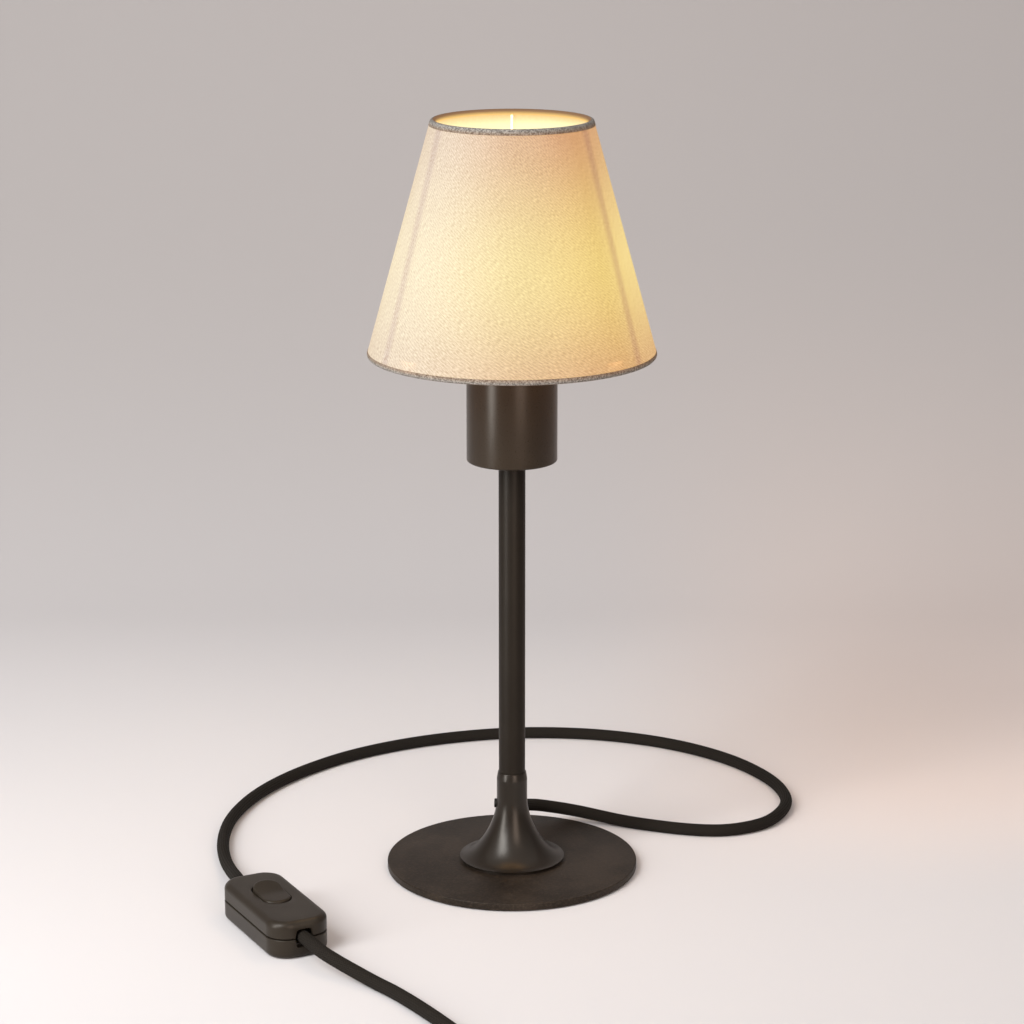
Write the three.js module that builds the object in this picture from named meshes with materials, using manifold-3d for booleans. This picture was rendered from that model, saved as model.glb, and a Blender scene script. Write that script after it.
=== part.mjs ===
// A table lamp: a steel base disc, a trumpet foot, a thin pole, a cup round an E27 lampholder, and a conical
// fabric shade on a wire frame. A textile cord leaves the foot's collar and runs through an in-line rocker
// switch to a two-pin plug, with the spare length in a coil. Millimetres, +Z up, -Y to the front. The origin
// is on the floor, under the pole's axis.
import * as THREE from "three";
import { mergeVertices } from "three/addons/utils/BufferGeometryUtils.js";
import Module from "manifold-3d";

const wasm = await Module();
wasm.setup();

// Clearances
const SEAT_GAP = 0.3; // between pieces that were cut to fit each other
const SLIP_GAP = 0.12; // radial, round a piece pushed or screwed into a hole
const RUNNING_GAP = 0.08; // radial, round a piece that turns

// Base
const DISC_RADIUS = 60;
const DISC_THICKNESS = 3.5;
const DISC_BEVEL = 0.35;
const PAD_RADIUS = 54;
const PAD_HOLE_RADIUS = 9;
const PAD_THICKNESS = 1;
const PAD_STANDS_PROUD = 0.5;
const BASE_SCREW_RADIUS = 2.5;
const BASE_SCREW_LENGTH = 16;
const BASE_SCREW_HEAD_RADIUS = 4.8;
const BASE_SCREW_HEAD_HEIGHT = 2.3;
const BASE_SCREW_SOCKET = 1.7; // radius of its hexagon
const BASE_SCREW_SOCKET_DEPTH = 1.5;

// Foot and collar
const FOOT_HEIGHT = 44.1;
const FOOT_RIM_RADIUS = 25.1;
const FOOT_RIM_GAP = 1.2;
const FOOT_RIM_THICKNESS = 0.55;
const FOOT_SEAT_RADIUS = 23.4;
const FLARE_HEIGHT = 30.2; // from the disc to where the flare meets the collar
const FLARE_POWER = 1.2;
const COLLAR_RADIUS = 7.3;
const COLLAR_CHAMFER_HEIGHT = 3.3;
const COLLAR_LIP = 0.3; // wall left at the collar's top
const CORD_ROOM_RADIUS = 5.6;
const CORD_ROOM_DEPTH = 15;
const TAPPED_DEPTH_SPARE = 1.5;

// Pole and its top nipple
const POLE_RADIUS = 6.3;
const POLE_WALL = 1.3;
const POLE_LENGTH = 163.1;
const POLE_SOCKET_DEPTH = 9.7;
const NIPPLE_BORE_RADIUS = 3.3;
const NIPPLE_IN_POLE = 12;
const NIPPLE_IN_DOME = 5;

// Cup round the lampholder
const CUP_RADIUS = 21.2;
const CUP_WALL = 1.2;
const CUP_FLOOR = 1.5;
const CUP_HEIGHT = 60.3;
const CUP_EDGE_RADIUS = 1;
const WASHER_RADIUS = 9;
const WASHER_THICKNESS = 0.8;
const NUT_RADIUS = 8; // across the corners
const NUT_THICKNESS = 4;

// Lampholder
const HOLDER_RADIUS = 19.4;
const HOLDER_WALL = 2;
const HOLDER_BORE_RADIUS = 15.5;
const SLEEVE_LENGTH = 43.6;
const SLEEVE_STANDS_PROUD = 2.4; // over the shade ring
const DOME_NECK_RADIUS = 7.6;
const DOME_NECK_HEIGHT = 5;
const DOME_SKIRT_HEIGHT = 5;
const BLOCK_HEIGHT = 11;
const SHELL_RADIUS = 14;
const SHELL_WALL = 0.4;
const SHELL_HEIGHT = 24;
const TERMINAL_OFFSET = 9.5;
const TERMINAL_SCREW_RADIUS = 1.5;
const TERMINAL_SCREW_LENGTH = 6;
const TERMINAL_HEAD_RADIUS = 2.7;
const TERMINAL_HEAD_HEIGHT = 1.6;
const CONTACT_RADIUS = 3.2;
const CONTACT_HEIGHT = 2;

// Shade ring
const RING_FLANGE_RADIUS = 27.5;
const RING_FLANGE_THICKNESS = 2.4;
const RING_GRIP_RADIUS = 23.8;
const RING_GRIP_DEPTH = 0.7;
const RING_GRIPS = 24;
const RING_HEIGHT = 9;

// Bulb
const BULB_RADIUS = 22.5;
const BULB_LENGTH = 78;
const BULB_WALL = 0.9;
const BULB_NECK_RADIUS = 12.4;
const BULB_NECK_RISE = 4; // over the cap, to where the globe starts
const BULB_NECK_FLARE = 0.9;
const BULB_GLOBE_START = 3.4; // the globe's first radius over the neck's
const CAP_RADIUS = 13.2;
const CAP_WALL = 0.5;
const CAP_HEIGHT = 26;
const CAP_RIM_HEIGHT = 6; // the plain part round the glass neck
const CAP_THREADS = 3;
const CAP_THREAD_DEPTH = 0.7;
const CAP_BUTTON_RADIUS = 4.6;
const CAP_BUTTON_HEIGHT = 2;
const CAP_FLAT_RADIUS = 7.6; // of the insulator round its button
const CAP_TAPER_HEIGHT = 2.6;
const CAP_FLOOR = 3;

// Shade
const SHADE_HEIGHT = 109.6;
const SHADE_BOTTOM_RADIUS = 68;
const SHADE_TOP_RADIUS = 37.7;
const SHADE_DROP = 10.5; // the bottom edge lies this far under the fitter ring
const FABRIC_THICKNESS = 0.6;
const TRIM_THICKNESS = 0.5;
const TRIM_HEIGHT = 2.7;
const RING_WIRE_RADIUS = 0.8;
const RIB_WIRE_RADIUS = 0.7;
const ARM_WIRE_RADIUS = 1.25;
const RIBS = 3;
const FITTER_THICKNESS = 1.2;
const FITTER_RADIUS = 27;
const FITTER_BORE_RADIUS = 20.2;

// Cord
const CORD_RADIUS = 3;
const CORD_SIDES = 8;
const CORD_FLOOR_GAP = 0.05;
const CORD_EXIT_AZIMUTH = 82; // degrees from +X, round +Z
const CORD_EXIT_SLOPE = 20; // degrees down
const CORD_EXIT_HEIGHT = 24.35; // over the disc, where the exit's axis leaves the collar
const INNER_BEND_RADIUS = 8;
const RELIEF_LENGTH = 21;
const RELIEF_ROOT_RADIUS = 4.2;
const RELIEF_TIP_RADIUS = 3.5;
const RELIEF_NECK_LENGTH = 2; // of its straight root outside the collar
const RELIEF_WAIST = [0.25, 0.6]; // over the tip's radius, and how far along
const CLAMP_SCREW_AZIMUTH = 174;
const CLAMP_SCREW_HEIGHT = 27.6; // over the disc
const CLAMP_SCREW_RADIUS = 2.15;
const CLAMP_SCREW_PROUD = 1.1;
const CLAMP_SCREW_LENGTH = 5.6;
const CLAMP_SCREW_SOCKET = 1.2;

// Cord coil: two layers, spiralling in and out again
const COIL_PITCH = 6.75;
const COIL_MIDDLE_RADIUS = 32;
const COIL_TURNS = 4.337;
const COIL_START_AZIMUTH = 31.3;
const COIL_CENTRE = [-31.6, -264];
const COIL_STEPS_PER_TURN = 24;
const COIL_SIDES = 6;

// In-line switch
const SWITCH_CENTRE = [-108, -84.5];
const SWITCH_AZIMUTH = -62.4;
const SWITCH_LENGTH = 65.8;
const SWITCH_WIDTH = 29.1;
const SWITCH_HEIGHT = 17.6;
const SWITCH_CORNER_RADIUS = 10;
const SWITCH_TOP_FILLET = 3;
const SWITCH_BOTTOM_FILLET = 2.8;
const SWITCH_WALL = 1.8;
const SWITCH_PARTING = 9.5;
const SWITCH_PARTING_GAP = 0.4;
const SWITCH_LIP_HEIGHT = 1.6;
const SWITCH_LIP_THICKNESS = 0.9;
const SWITCH_CORD_HEIGHT = 9.7;
const SWITCH_PORT_WIDTH = 8;
const SWITCH_PORT_HEIGHT = 7;
const SWITCH_BOSS = [24, 8.2];
const SWITCH_BOSS_RADIUS = 3;
const SWITCH_SCREW_RADIUS = 1.25;
const SWITCH_SCREW_HEAD_RADIUS = 2.3;
const SWITCH_SCREW_HEAD_HEIGHT = 1.5;
const SWITCH_SCREW_SINK = 0.5;
const SWITCH_SCREW_LENGTH = 13;
const ROCKER_OFFSET = -4; // of its middle, along the switch
const ROCKER_REACH = 12.4; // from the pivot to each end
const ROCKER_WIDTH = 13;
const ROCKER_TILT = 7.7; // degrees, either way from level
const ROCKER_PIVOT_DEPTH = 4.2; // under the top face
const ROCKER_PROUD = 0.9; // its ridge stands this far over the top face when it is level
const ROCKER_THICKNESS = 3.6;
const ROCKER_WINDOW_GAP = 0.35;
const ROCKER_EDGE = [0.7, 0.18]; // its top edge is rounded over these two drops
const HUB_WIDTH = 8; // of the block that ties the trunnions to the rocker
const TRUNNION_RADIUS = 1.4;
const EAR_THICKNESS = 1.7;
const EAR_WIDTH = 6;
const EAR_DEPTH = 2.6; // under the pivot
const PLUNGER_REACH = 5.2; // under the rocker's pivot
const PLUNGER_RADIUS = 1.2;
const CONTACT_PIVOT_HEIGHT = 4.4; // over the switch's floor
const CONTACT_PIVOT_RADIUS = 0.6;
const CONTACT_REACH = 7.5;
const CONTACT_WIDTH = 5;
const CONTACT_BLADE = 0.7; // its thickness
const CONTACT_SADDLE = [1.5, 0.5]; // half its length, and how far it reaches under the pivot
const LANDING_RADIUS = 1; // of the button under the blade's end
const LANDING_INSET = 0.8; // of its middle from the blade's end
const STRIP_THICKNESS = 0.6;
const STRIP_SIDE = 4; // how far a strip reaches across the switch, to its terminal
const TERMINAL_BLOCK = [8, 5.2, 5.4];
const TERMINAL_PLACE = [19, 5.5]; // along and across the switch
const TERMINAL_CLAMP_RADIUS = 1.3;
const TERMINAL_CLAMP_PROUD = 0.8;

// Plug
const PLUG_LENGTH = 36;
const PLUG_FACE_WIDTH = 35;
const PLUG_GRIP_WIDTH = 26;
const PLUG_TAIL_WIDTH = 14;
const PLUG_THICKNESS = 13.7;
const PLUG_TAIL_THICKNESS = 10.5;
const PLUG_PIN_SPACING = 18.6;
const PLUG_PIN_RADIUS = 2;
const PLUG_PIN_LENGTH = 19;
const PLUG_PIN_SEAT = 6;
const PLUG_RELIEF_LENGTH = 20;
const PLUG_RELIEF_ROOT_RADIUS = 5;
const PLUG_RELIEF_TIP_RADIUS = 3.7;
const PLUG_LEAD_LENGTH = 32; // of cord, from the coil to the relief

// Facets
const LARGE_ROUND = 40;
const MIDDLE_ROUND = 28;
const SMALL_ROUND = 16;
const SHADE_ROUND = 48;
const MERGE_DISTANCE = 1e-4;

// Heights that follow from the sizes above
const padTop = PAD_THICKNESS;
const discTop = PAD_STANDS_PROUD + DISC_THICKNESS;
const collarTop = discTop + FOOT_HEIGHT;
const poleBottom = collarTop - POLE_SOCKET_DEPTH;
const poleTop = poleBottom + POLE_LENGTH;
const poleBore = POLE_RADIUS - POLE_WALL;
const cupTop = poleTop + CUP_HEIGHT;
const washerBottom = poleTop + CUP_FLOOR;
const nutBottom = washerBottom + WASHER_THICKNESS;
const domeBottom = nutBottom + NUT_THICKNESS;
const fitterBottom = cupTop + RUNNING_GAP;
const fitterTop = fitterBottom + FITTER_THICKNESS;
const ringBottom = fitterTop + RUNNING_GAP;
const sleeveTop = ringBottom + RING_HEIGHT + SLEEVE_STANDS_PROUD;
const sleeveBottom = sleeveTop - SLEEVE_LENGTH;
const blockBottom = sleeveBottom - DOME_SKIRT_HEIGHT;
const blockTop = blockBottom + BLOCK_HEIGHT;
const bulbBottom = blockTop + CONTACT_HEIGHT + SEAT_GAP;
const shadeBottom = fitterBottom - SHADE_DROP;
const shadeTop = shadeBottom + SHADE_HEIGHT;
const nippleRadius = poleBore - SLIP_GAP;
const cordHeight = CORD_RADIUS + CORD_FLOOR_GAP;

// Finishes
const finish = {
  black: { color: 0x2c2824, roughness: 0.6, metalness: 0.4 },
  bronze: { color: 0x3a322b, roughness: 0.42, metalness: 0.6 },
  steel: { color: 0x9a9a98, roughness: 0.35, metalness: 1 },
  brass: { color: 0xb59552, roughness: 0.35, metalness: 1 },
  plastic: { color: 0x2a2623, roughness: 0.45, metalness: 0 },
  holder: { color: 0x1f1e1d, roughness: 0.5, metalness: 0 },
  felt: { color: 0x1c1b1a, roughness: 0.95, metalness: 0 },
  cloth: { color: 0xf2e4cc, roughness: 0.9, metalness: 0 },
  tape: { color: 0xb7a892, roughness: 0.9, metalness: 0 },
  wire: { color: 0xe9e6df, roughness: 0.5, metalness: 0.2 },
  glass: { color: 0xfff3d6, roughness: 0.3, metalness: 0 },
  cord: { color: 0x24211e, roughness: 0.9, metalness: 0 },
};

const degrees = THREE.MathUtils.degToRad;

// Solid tools

// A closed body from a geometry, with its faces turned outwards.
function solid(geometry) {
  const bare = new THREE.BufferGeometry();
  bare.setAttribute("position", geometry.getAttribute("position"));
  bare.setIndex(geometry.index);
  const merged = mergeVertices(bare, MERGE_DISTANCE);
  const corners = merged.index.array;
  const outward = [];
  const inward = [];
  for (let i = 0; i < corners.length; i += 3) {
    const [a, b, c] = corners.slice(i, i + 3);
    if (a === b || b === c || c === a) continue;
    outward.push(a, b, c);
    inward.push(a, c, b);
  }
  const body = (triangles) =>
    new wasm.Manifold(
      new wasm.Mesh({
        numProp: 3,
        vertProperties: merged.attributes.position.array,
        triVerts: new Uint32Array(triangles),
      }),
    );
  const made = body(outward);
  return made.volume() < 0 ? body(inward) : made;
}

function geometryOf(body) {
  const mesh = body.getMesh();
  const geometry = new THREE.BufferGeometry();
  geometry.setAttribute("position", new THREE.BufferAttribute(new Float32Array(mesh.vertProperties), 3));
  geometry.setIndex(new THREE.BufferAttribute(new Uint32Array(mesh.triVerts), 1));
  geometry.computeVertexNormals();
  return geometry;
}

function join(...parts) {
  return geometryOf(parts.map(solid).reduce((all, next) => all.add(next)));
}

function cut(base, ...tools) {
  return geometryOf(tools.map(solid).reduce((left, tool) => left.subtract(tool), solid(base)));
}

// A profile of [radius, height] pairs turned round Z. It starts and ends on the axis, or closes on itself.
function turned(profile, segments = MIDDLE_ROUND) {
  const onAxis = profile[0][0] === 0;
  const outline = onAxis ? profile : [...profile, profile[0]];
  const points = outline.map(([radius, height]) => new THREE.Vector2(radius, height));
  return geometryOf(solid(new THREE.LatheGeometry(points, segments).rotateX(Math.PI / 2)));
}

function rod(radius, bottom, top, segments = SMALL_ROUND) {
  return new THREE.CylinderGeometry(radius, radius, top - bottom, segments)
    .rotateX(Math.PI / 2)
    .translate(0, 0, (bottom + top) / 2);
}

// The corner radius of a hole with flat facets that a round piece of this radius can turn in.
function roundHole(radius, segments) {
  return radius / Math.cos(Math.PI / segments);
}

function block(from, to) {
  const size = to.map((high, axis) => high - from[axis]);
  return new THREE.BoxGeometry(...size).translate(
    (from[0] + to[0]) / 2,
    (from[1] + to[1]) / 2,
    (from[2] + to[2]) / 2,
  );
}

// Rings of equally many points, joined from the first to the last, with a fan over each end.
function loft(rings) {
  const count = rings[0].length;
  const points = rings.flat();
  const faces = [];
  for (let ring = 0; ring < rings.length - 1; ring++) {
    for (let i = 0; i < count; i++) {
      const a = ring * count + i;
      const b = ring * count + ((i + 1) % count);
      faces.push(a, b, b + count, a, b + count, a + count);
    }
  }
  const ends = [rings[0], rings.at(-1)].map((ring) =>
    ring.reduce((sum, point) => sum.add(point), new THREE.Vector3()).divideScalar(count),
  );
  const first = points.length;
  const last = first - count;
  for (let i = 0; i < count; i++) {
    const next = (i + 1) % count;
    faces.push(first, next, i, first + 1, last + i, last + next);
  }
  const geometry = new THREE.BufferGeometry().setFromPoints([...points, ...ends]);
  geometry.setIndex(faces);
  return geometry;
}

// A rectangle with round corners in the XY plane, at one height.
function roundedRing(length, width, corner, height, steps = 5) {
  const ring = [];
  for (let quarter = 0; quarter < 4; quarter++) {
    const sideX = quarter === 0 || quarter === 3 ? 1 : -1;
    const sideY = quarter < 2 ? 1 : -1;
    for (let step = 0; step <= steps; step++) {
      const turn = (Math.PI / 2) * (quarter + step / steps);
      const x = sideX * (length / 2 - corner) + corner * Math.cos(turn);
      const y = sideY * (width / 2 - corner) + corner * Math.sin(turn);
      ring.push(new THREE.Vector3(x, y, height));
    }
  }
  return ring;
}

function arc(steps, at) {
  return Array.from({ length: steps + 1 }, (_, step) => at((Math.PI / 2) * (step / steps)));
}

// A tube along a curve, as a section of straight sides carried along it.
function tube(curve, radius, steps, sides = CORD_SIDES) {
  const section = new THREE.Shape();
  for (let side = 0; side < sides; side++) {
    const turn = (2 * Math.PI * side) / sides;
    const go = side === 0 ? "moveTo" : "lineTo";
    section[go](radius * Math.cos(turn), radius * Math.sin(turn));
  }
  section.closePath();
  const swept = new THREE.ExtrudeGeometry(section, { steps, extrudePath: curve, bevelEnabled: false });
  return geometryOf(solid(swept));
}

// A straight wire between two points.
function wire(from, to, radius, sides = 8) {
  const length = from.distanceTo(to);
  const turn = new THREE.Quaternion().setFromUnitVectors(
    new THREE.Vector3(0, 1, 0),
    to.clone().sub(from).normalize(),
  );
  const middle = from.clone().lerp(to, 0.5);
  return new THREE.CylinderGeometry(radius, radius, length, sides)
    .applyQuaternion(turn)
    .translate(middle.x, middle.y, middle.z);
}

function polar(radius, azimuth, height) {
  const turn = degrees(azimuth);
  return new THREE.Vector3(radius * Math.cos(turn), radius * Math.sin(turn), height);
}

function piece(name, geometry, look) {
  const mesh = new THREE.Mesh(geometry, new THREE.MeshStandardMaterial(finish[look]));
  mesh.name = name;
  return mesh;
}

function group(...children) {
  const made = new THREE.Group();
  made.add(...children);
  return made;
}

// Base

function baseDisc() {
  const holeRadius = BASE_SCREW_RADIUS + SLIP_GAP;
  const headRadius = BASE_SCREW_HEAD_RADIUS + SLIP_GAP;
  const recessRadius = PAD_RADIUS + SLIP_GAP;
  return turned(
    [
      [holeRadius, discTop],
      [holeRadius, padTop + BASE_SCREW_HEAD_HEIGHT],
      [headRadius, padTop],
      [recessRadius, padTop],
      [recessRadius, PAD_STANDS_PROUD],
      [DISC_RADIUS - DISC_BEVEL, PAD_STANDS_PROUD],
      [DISC_RADIUS, PAD_STANDS_PROUD + DISC_BEVEL],
      [DISC_RADIUS, discTop - DISC_BEVEL],
      [DISC_RADIUS - DISC_BEVEL, discTop],
    ],
    LARGE_ROUND,
  );
}

function basePad() {
  return turned(
    [
      [PAD_HOLE_RADIUS, 0],
      [PAD_RADIUS, 0],
      [PAD_RADIUS, padTop],
      [PAD_HOLE_RADIUS, padTop],
    ],
    LARGE_ROUND,
  );
}

// The countersunk screw that holds the foot on the disc, from beneath.
function baseScrew() {
  const shape = turned([
    [0, padTop],
    [BASE_SCREW_HEAD_RADIUS, padTop],
    [BASE_SCREW_RADIUS, padTop + BASE_SCREW_HEAD_HEIGHT],
    [BASE_SCREW_RADIUS, padTop + BASE_SCREW_LENGTH],
    [0, padTop + BASE_SCREW_LENGTH],
  ]);
  return cut(shape, rod(BASE_SCREW_SOCKET, padTop - 1, padTop + BASE_SCREW_SOCKET_DEPTH, 6));
}

// The flare between the rim and the collar: a quarter of a superellipse, steep at the collar.
function flare(steps) {
  const bottom = discTop + FOOT_RIM_GAP + FOOT_RIM_THICKNESS;
  const top = discTop + FLARE_HEIGHT;
  return arc(steps, (turn) => [
    FOOT_RIM_RADIUS - (FOOT_RIM_RADIUS - COLLAR_RADIUS) * Math.cos(Math.PI / 2 - turn) ** FLARE_POWER,
    top - (top - bottom) * Math.sin(Math.PI / 2 - turn) ** FLARE_POWER,
  ]);
}

function exitFrame() {
  const turn = new THREE.Group();
  const start = polar(COLLAR_RADIUS, CORD_EXIT_AZIMUTH, discTop + CORD_EXIT_HEIGHT);
  const slope = degrees(CORD_EXIT_SLOPE);
  const out = polar(Math.cos(slope), CORD_EXIT_AZIMUTH, -Math.sin(slope));
  turn.position.copy(start);
  turn.quaternion.setFromUnitVectors(new THREE.Vector3(0, 0, 1), out);
  turn.updateMatrix();
  return { start, out, matrix: turn.matrix };
}

function clampScrewFrame() {
  const height = discTop + CLAMP_SCREW_HEIGHT;
  const out = polar(1, CLAMP_SCREW_AZIMUTH, 0);
  const turn = new THREE.Group();
  turn.position.copy(polar(COLLAR_RADIUS, CLAMP_SCREW_AZIMUTH, height));
  turn.quaternion.setFromUnitVectors(new THREE.Vector3(0, 0, 1), out);
  turn.updateMatrix();
  return turn.matrix;
}

// The trumpet foot with its collar: tapped from beneath, bored from above for the cord and the pole, with
// one cross hole for the strain relief and one for the clamp screw.
function trumpetFoot() {
  const tappedRadius = BASE_SCREW_RADIUS + SLIP_GAP;
  const tappedTop = padTop + BASE_SCREW_LENGTH + TAPPED_DEPTH_SPARE;
  const socketRadius = POLE_RADIUS + SLIP_GAP;
  const rimBottom = discTop + FOOT_RIM_GAP;
  const body = turned(
    [
      [0, tappedTop],
      [tappedRadius, tappedTop],
      [tappedRadius, discTop],
      [FOOT_SEAT_RADIUS, discTop],
      [FOOT_SEAT_RADIUS, rimBottom],
      [FOOT_RIM_RADIUS, rimBottom],
      ...flare(8),
      [COLLAR_RADIUS, collarTop - COLLAR_CHAMFER_HEIGHT],
      [socketRadius + COLLAR_LIP, collarTop],
      [socketRadius, collarTop],
      [socketRadius, poleBottom],
      [CORD_ROOM_RADIUS, poleBottom],
      [CORD_ROOM_RADIUS, poleBottom - CORD_ROOM_DEPTH],
      [0, poleBottom - CORD_ROOM_DEPTH],
    ],
    LARGE_ROUND,
  );
  const reliefHole = rod(RELIEF_ROOT_RADIUS + SLIP_GAP * 2, -COLLAR_RADIUS / 2, RELIEF_LENGTH);
  const screwHole = rod(CLAMP_SCREW_RADIUS + SLIP_GAP, -COLLAR_RADIUS / 2, COLLAR_RADIUS);
  reliefHole.applyMatrix4(exitFrame().matrix);
  screwHole.applyMatrix4(clampScrewFrame());
  return cut(body, reliefHole, screwHole);
}

// The black nylon screw in the collar's side that pinches the cord.
function cordClampScrew() {
  const inner = CLAMP_SCREW_PROUD - CLAMP_SCREW_LENGTH;
  const shank = turned([
    [0, inner],
    [CLAMP_SCREW_RADIUS * 0.6, inner],
    [CLAMP_SCREW_RADIUS, inner + CLAMP_SCREW_RADIUS * 0.4],
    [CLAMP_SCREW_RADIUS, CLAMP_SCREW_PROUD],
    [0, CLAMP_SCREW_PROUD],
  ]);
  const socket = rod(CLAMP_SCREW_SOCKET, 0, CLAMP_SCREW_PROUD + 1, 6);
  return cut(shank, socket).applyMatrix4(clampScrewFrame());
}

// The tapered sleeve in the collar's cross hole, with the cord through it.
function cordStrainRelief() {
  const bore = CORD_RADIUS + SLIP_GAP;
  const root = CORD_ROOM_RADIUS - COLLAR_RADIUS;
  return turned(
    [
      [bore, root],
      [RELIEF_ROOT_RADIUS, root],
      [RELIEF_ROOT_RADIUS, RELIEF_NECK_LENGTH],
      [RELIEF_TIP_RADIUS + RELIEF_WAIST[0], RELIEF_LENGTH * RELIEF_WAIST[1]],
      [RELIEF_TIP_RADIUS, RELIEF_LENGTH],
      [bore, RELIEF_LENGTH],
    ],
    MIDDLE_ROUND,
  ).applyMatrix4(exitFrame().matrix);
}

// Pole, nipple and what clamps the cup

function poleTube() {
  return turned([
    [poleBore, poleBottom],
    [POLE_RADIUS, poleBottom],
    [POLE_RADIUS, poleTop],
    [poleBore, poleTop],
  ]);
}

function topNipple() {
  const bottom = poleTop - NIPPLE_IN_POLE;
  const top = domeBottom + NIPPLE_IN_DOME;
  return turned(
    [
      [NIPPLE_BORE_RADIUS, bottom],
      [nippleRadius, bottom],
      [nippleRadius, top],
      [NIPPLE_BORE_RADIUS, top],
    ],
    MIDDLE_ROUND,
  );
}

function lampholderCup() {
  const hole = nippleRadius + SLIP_GAP;
  const edge = arc(3, (turn) => [
    CUP_RADIUS - CUP_EDGE_RADIUS + CUP_EDGE_RADIUS * Math.sin(turn),
    poleTop + CUP_EDGE_RADIUS - CUP_EDGE_RADIUS * Math.cos(turn),
  ]);
  return turned(
    [
      [hole, poleTop],
      ...edge,
      [CUP_RADIUS, cupTop],
      [CUP_RADIUS - CUP_WALL, cupTop],
      [CUP_RADIUS - CUP_WALL, poleTop + CUP_FLOOR],
      [hole, poleTop + CUP_FLOOR],
    ],
    LARGE_ROUND,
  );
}

function lockWasher() {
  const hole = nippleRadius + SLIP_GAP;
  return turned(
    [
      [hole, washerBottom],
      [WASHER_RADIUS, washerBottom],
      [WASHER_RADIUS, nutBottom],
      [hole, nutBottom],
    ],
    SMALL_ROUND,
  );
}

function lockNut() {
  return cut(
    rod(NUT_RADIUS, nutBottom, domeBottom, 6),
    rod(nippleRadius + SLIP_GAP, nutBottom - 1, domeBottom + 1, MIDDLE_ROUND),
  );
}

// Lampholder

// The dome that screws onto the nipple and carries the contact block on a ledge inside its skirt.
function holderDome() {
  const neckTop = domeBottom + DOME_NECK_HEIGHT;
  const skirtBottom = blockBottom;
  const shoulder = (inset) =>
    arc(3, (turn) => [
      DOME_NECK_RADIUS + (HOLDER_RADIUS - DOME_NECK_RADIUS) * Math.sin(turn) - inset,
      neckTop + (skirtBottom - neckTop) * (1 - Math.cos(turn)) + inset * Math.cos(turn),
    ]);
  const ledge = HOLDER_RADIUS - 2 * HOLDER_WALL;
  const inside = shoulder(HOLDER_WALL).filter(([radius]) => radius < ledge);
  return turned([
    [nippleRadius + SLIP_GAP, domeBottom],
    [DOME_NECK_RADIUS, domeBottom],
    ...shoulder(0),
    [HOLDER_RADIUS, sleeveBottom],
    [HOLDER_RADIUS - HOLDER_WALL, sleeveBottom],
    [HOLDER_RADIUS - HOLDER_WALL, blockBottom],
    [ledge, blockBottom],
    ...inside.reverse(),
    [nippleRadius + SLIP_GAP, neckTop + HOLDER_WALL],
  ]);
}

function contactBlock() {
  const radius = HOLDER_RADIUS - HOLDER_WALL - SLIP_GAP;
  const holes = [-1, 1].map((side) =>
    rod(TERMINAL_SCREW_RADIUS + SLIP_GAP, blockBottom - 1, blockBottom + TERMINAL_SCREW_LENGTH + 1, 12).translate(
      side * TERMINAL_OFFSET,
      0,
      0,
    ),
  );
  return cut(rod(radius, blockBottom, blockTop), ...holes);
}

function terminalScrew(side) {
  const headBottom = blockBottom - TERMINAL_HEAD_HEIGHT;
  return turned(
    [
      [0, headBottom],
      [TERMINAL_HEAD_RADIUS, headBottom],
      [TERMINAL_HEAD_RADIUS, blockBottom],
      [TERMINAL_SCREW_RADIUS, blockBottom],
      [TERMINAL_SCREW_RADIUS, blockBottom + TERMINAL_SCREW_LENGTH],
      [0, blockBottom + TERMINAL_SCREW_LENGTH],
    ],
    12,
  ).translate(side * TERMINAL_OFFSET, 0, 0);
}

function holderSleeve() {
  const wide = HOLDER_RADIUS - HOLDER_WALL;
  return turned([
    [wide, sleeveBottom],
    [HOLDER_RADIUS, sleeveBottom],
    [HOLDER_RADIUS, sleeveTop],
    [HOLDER_BORE_RADIUS, sleeveTop],
    [HOLDER_BORE_RADIUS, blockTop + SEAT_GAP],
    [wide, blockTop + SEAT_GAP],
  ]);
}

function threadShell() {
  return turned([
    [SHELL_RADIUS - SHELL_WALL, blockTop],
    [SHELL_RADIUS, blockTop],
    [SHELL_RADIUS, blockTop + SHELL_HEIGHT],
    [SHELL_RADIUS - SHELL_WALL, blockTop + SHELL_HEIGHT],
  ]);
}

function centreContact() {
  return turned(
    [
      [0, blockTop],
      [CONTACT_RADIUS, blockTop],
      [CONTACT_RADIUS * 0.7, blockTop + CONTACT_HEIGHT],
      [0, blockTop + CONTACT_HEIGHT],
    ],
    12,
  );
}

// The ring that clamps the shade: a flange under a barrel with grip ribs.
function shadeRing() {
  const outline = new THREE.Shape();
  const stations = RING_GRIPS * 4;
  for (let i = 0; i < stations; i++) {
    const turn = (2 * Math.PI * i) / stations;
    const radius = RING_GRIP_RADIUS - (i % 4 < 2 ? RING_GRIP_DEPTH : 0);
    outline[i === 0 ? "moveTo" : "lineTo"](radius * Math.cos(turn), radius * Math.sin(turn));
  }
  outline.closePath();
  const barrel = new THREE.ExtrudeGeometry(outline, { depth: RING_HEIGHT, steps: 1, bevelEnabled: false });
  barrel.translate(0, 0, ringBottom);
  const flange = rod(RING_FLANGE_RADIUS, ringBottom, ringBottom + RING_FLANGE_THICKNESS, LARGE_ROUND);
  const boreRadius = roundHole(HOLDER_RADIUS + RUNNING_GAP, MIDDLE_ROUND);
  const bore = rod(boreRadius, ringBottom - 1, ringBottom + RING_HEIGHT + 1, MIDDLE_ROUND);
  return cut(join(barrel, flange), bore);
}

// Bulb

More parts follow.
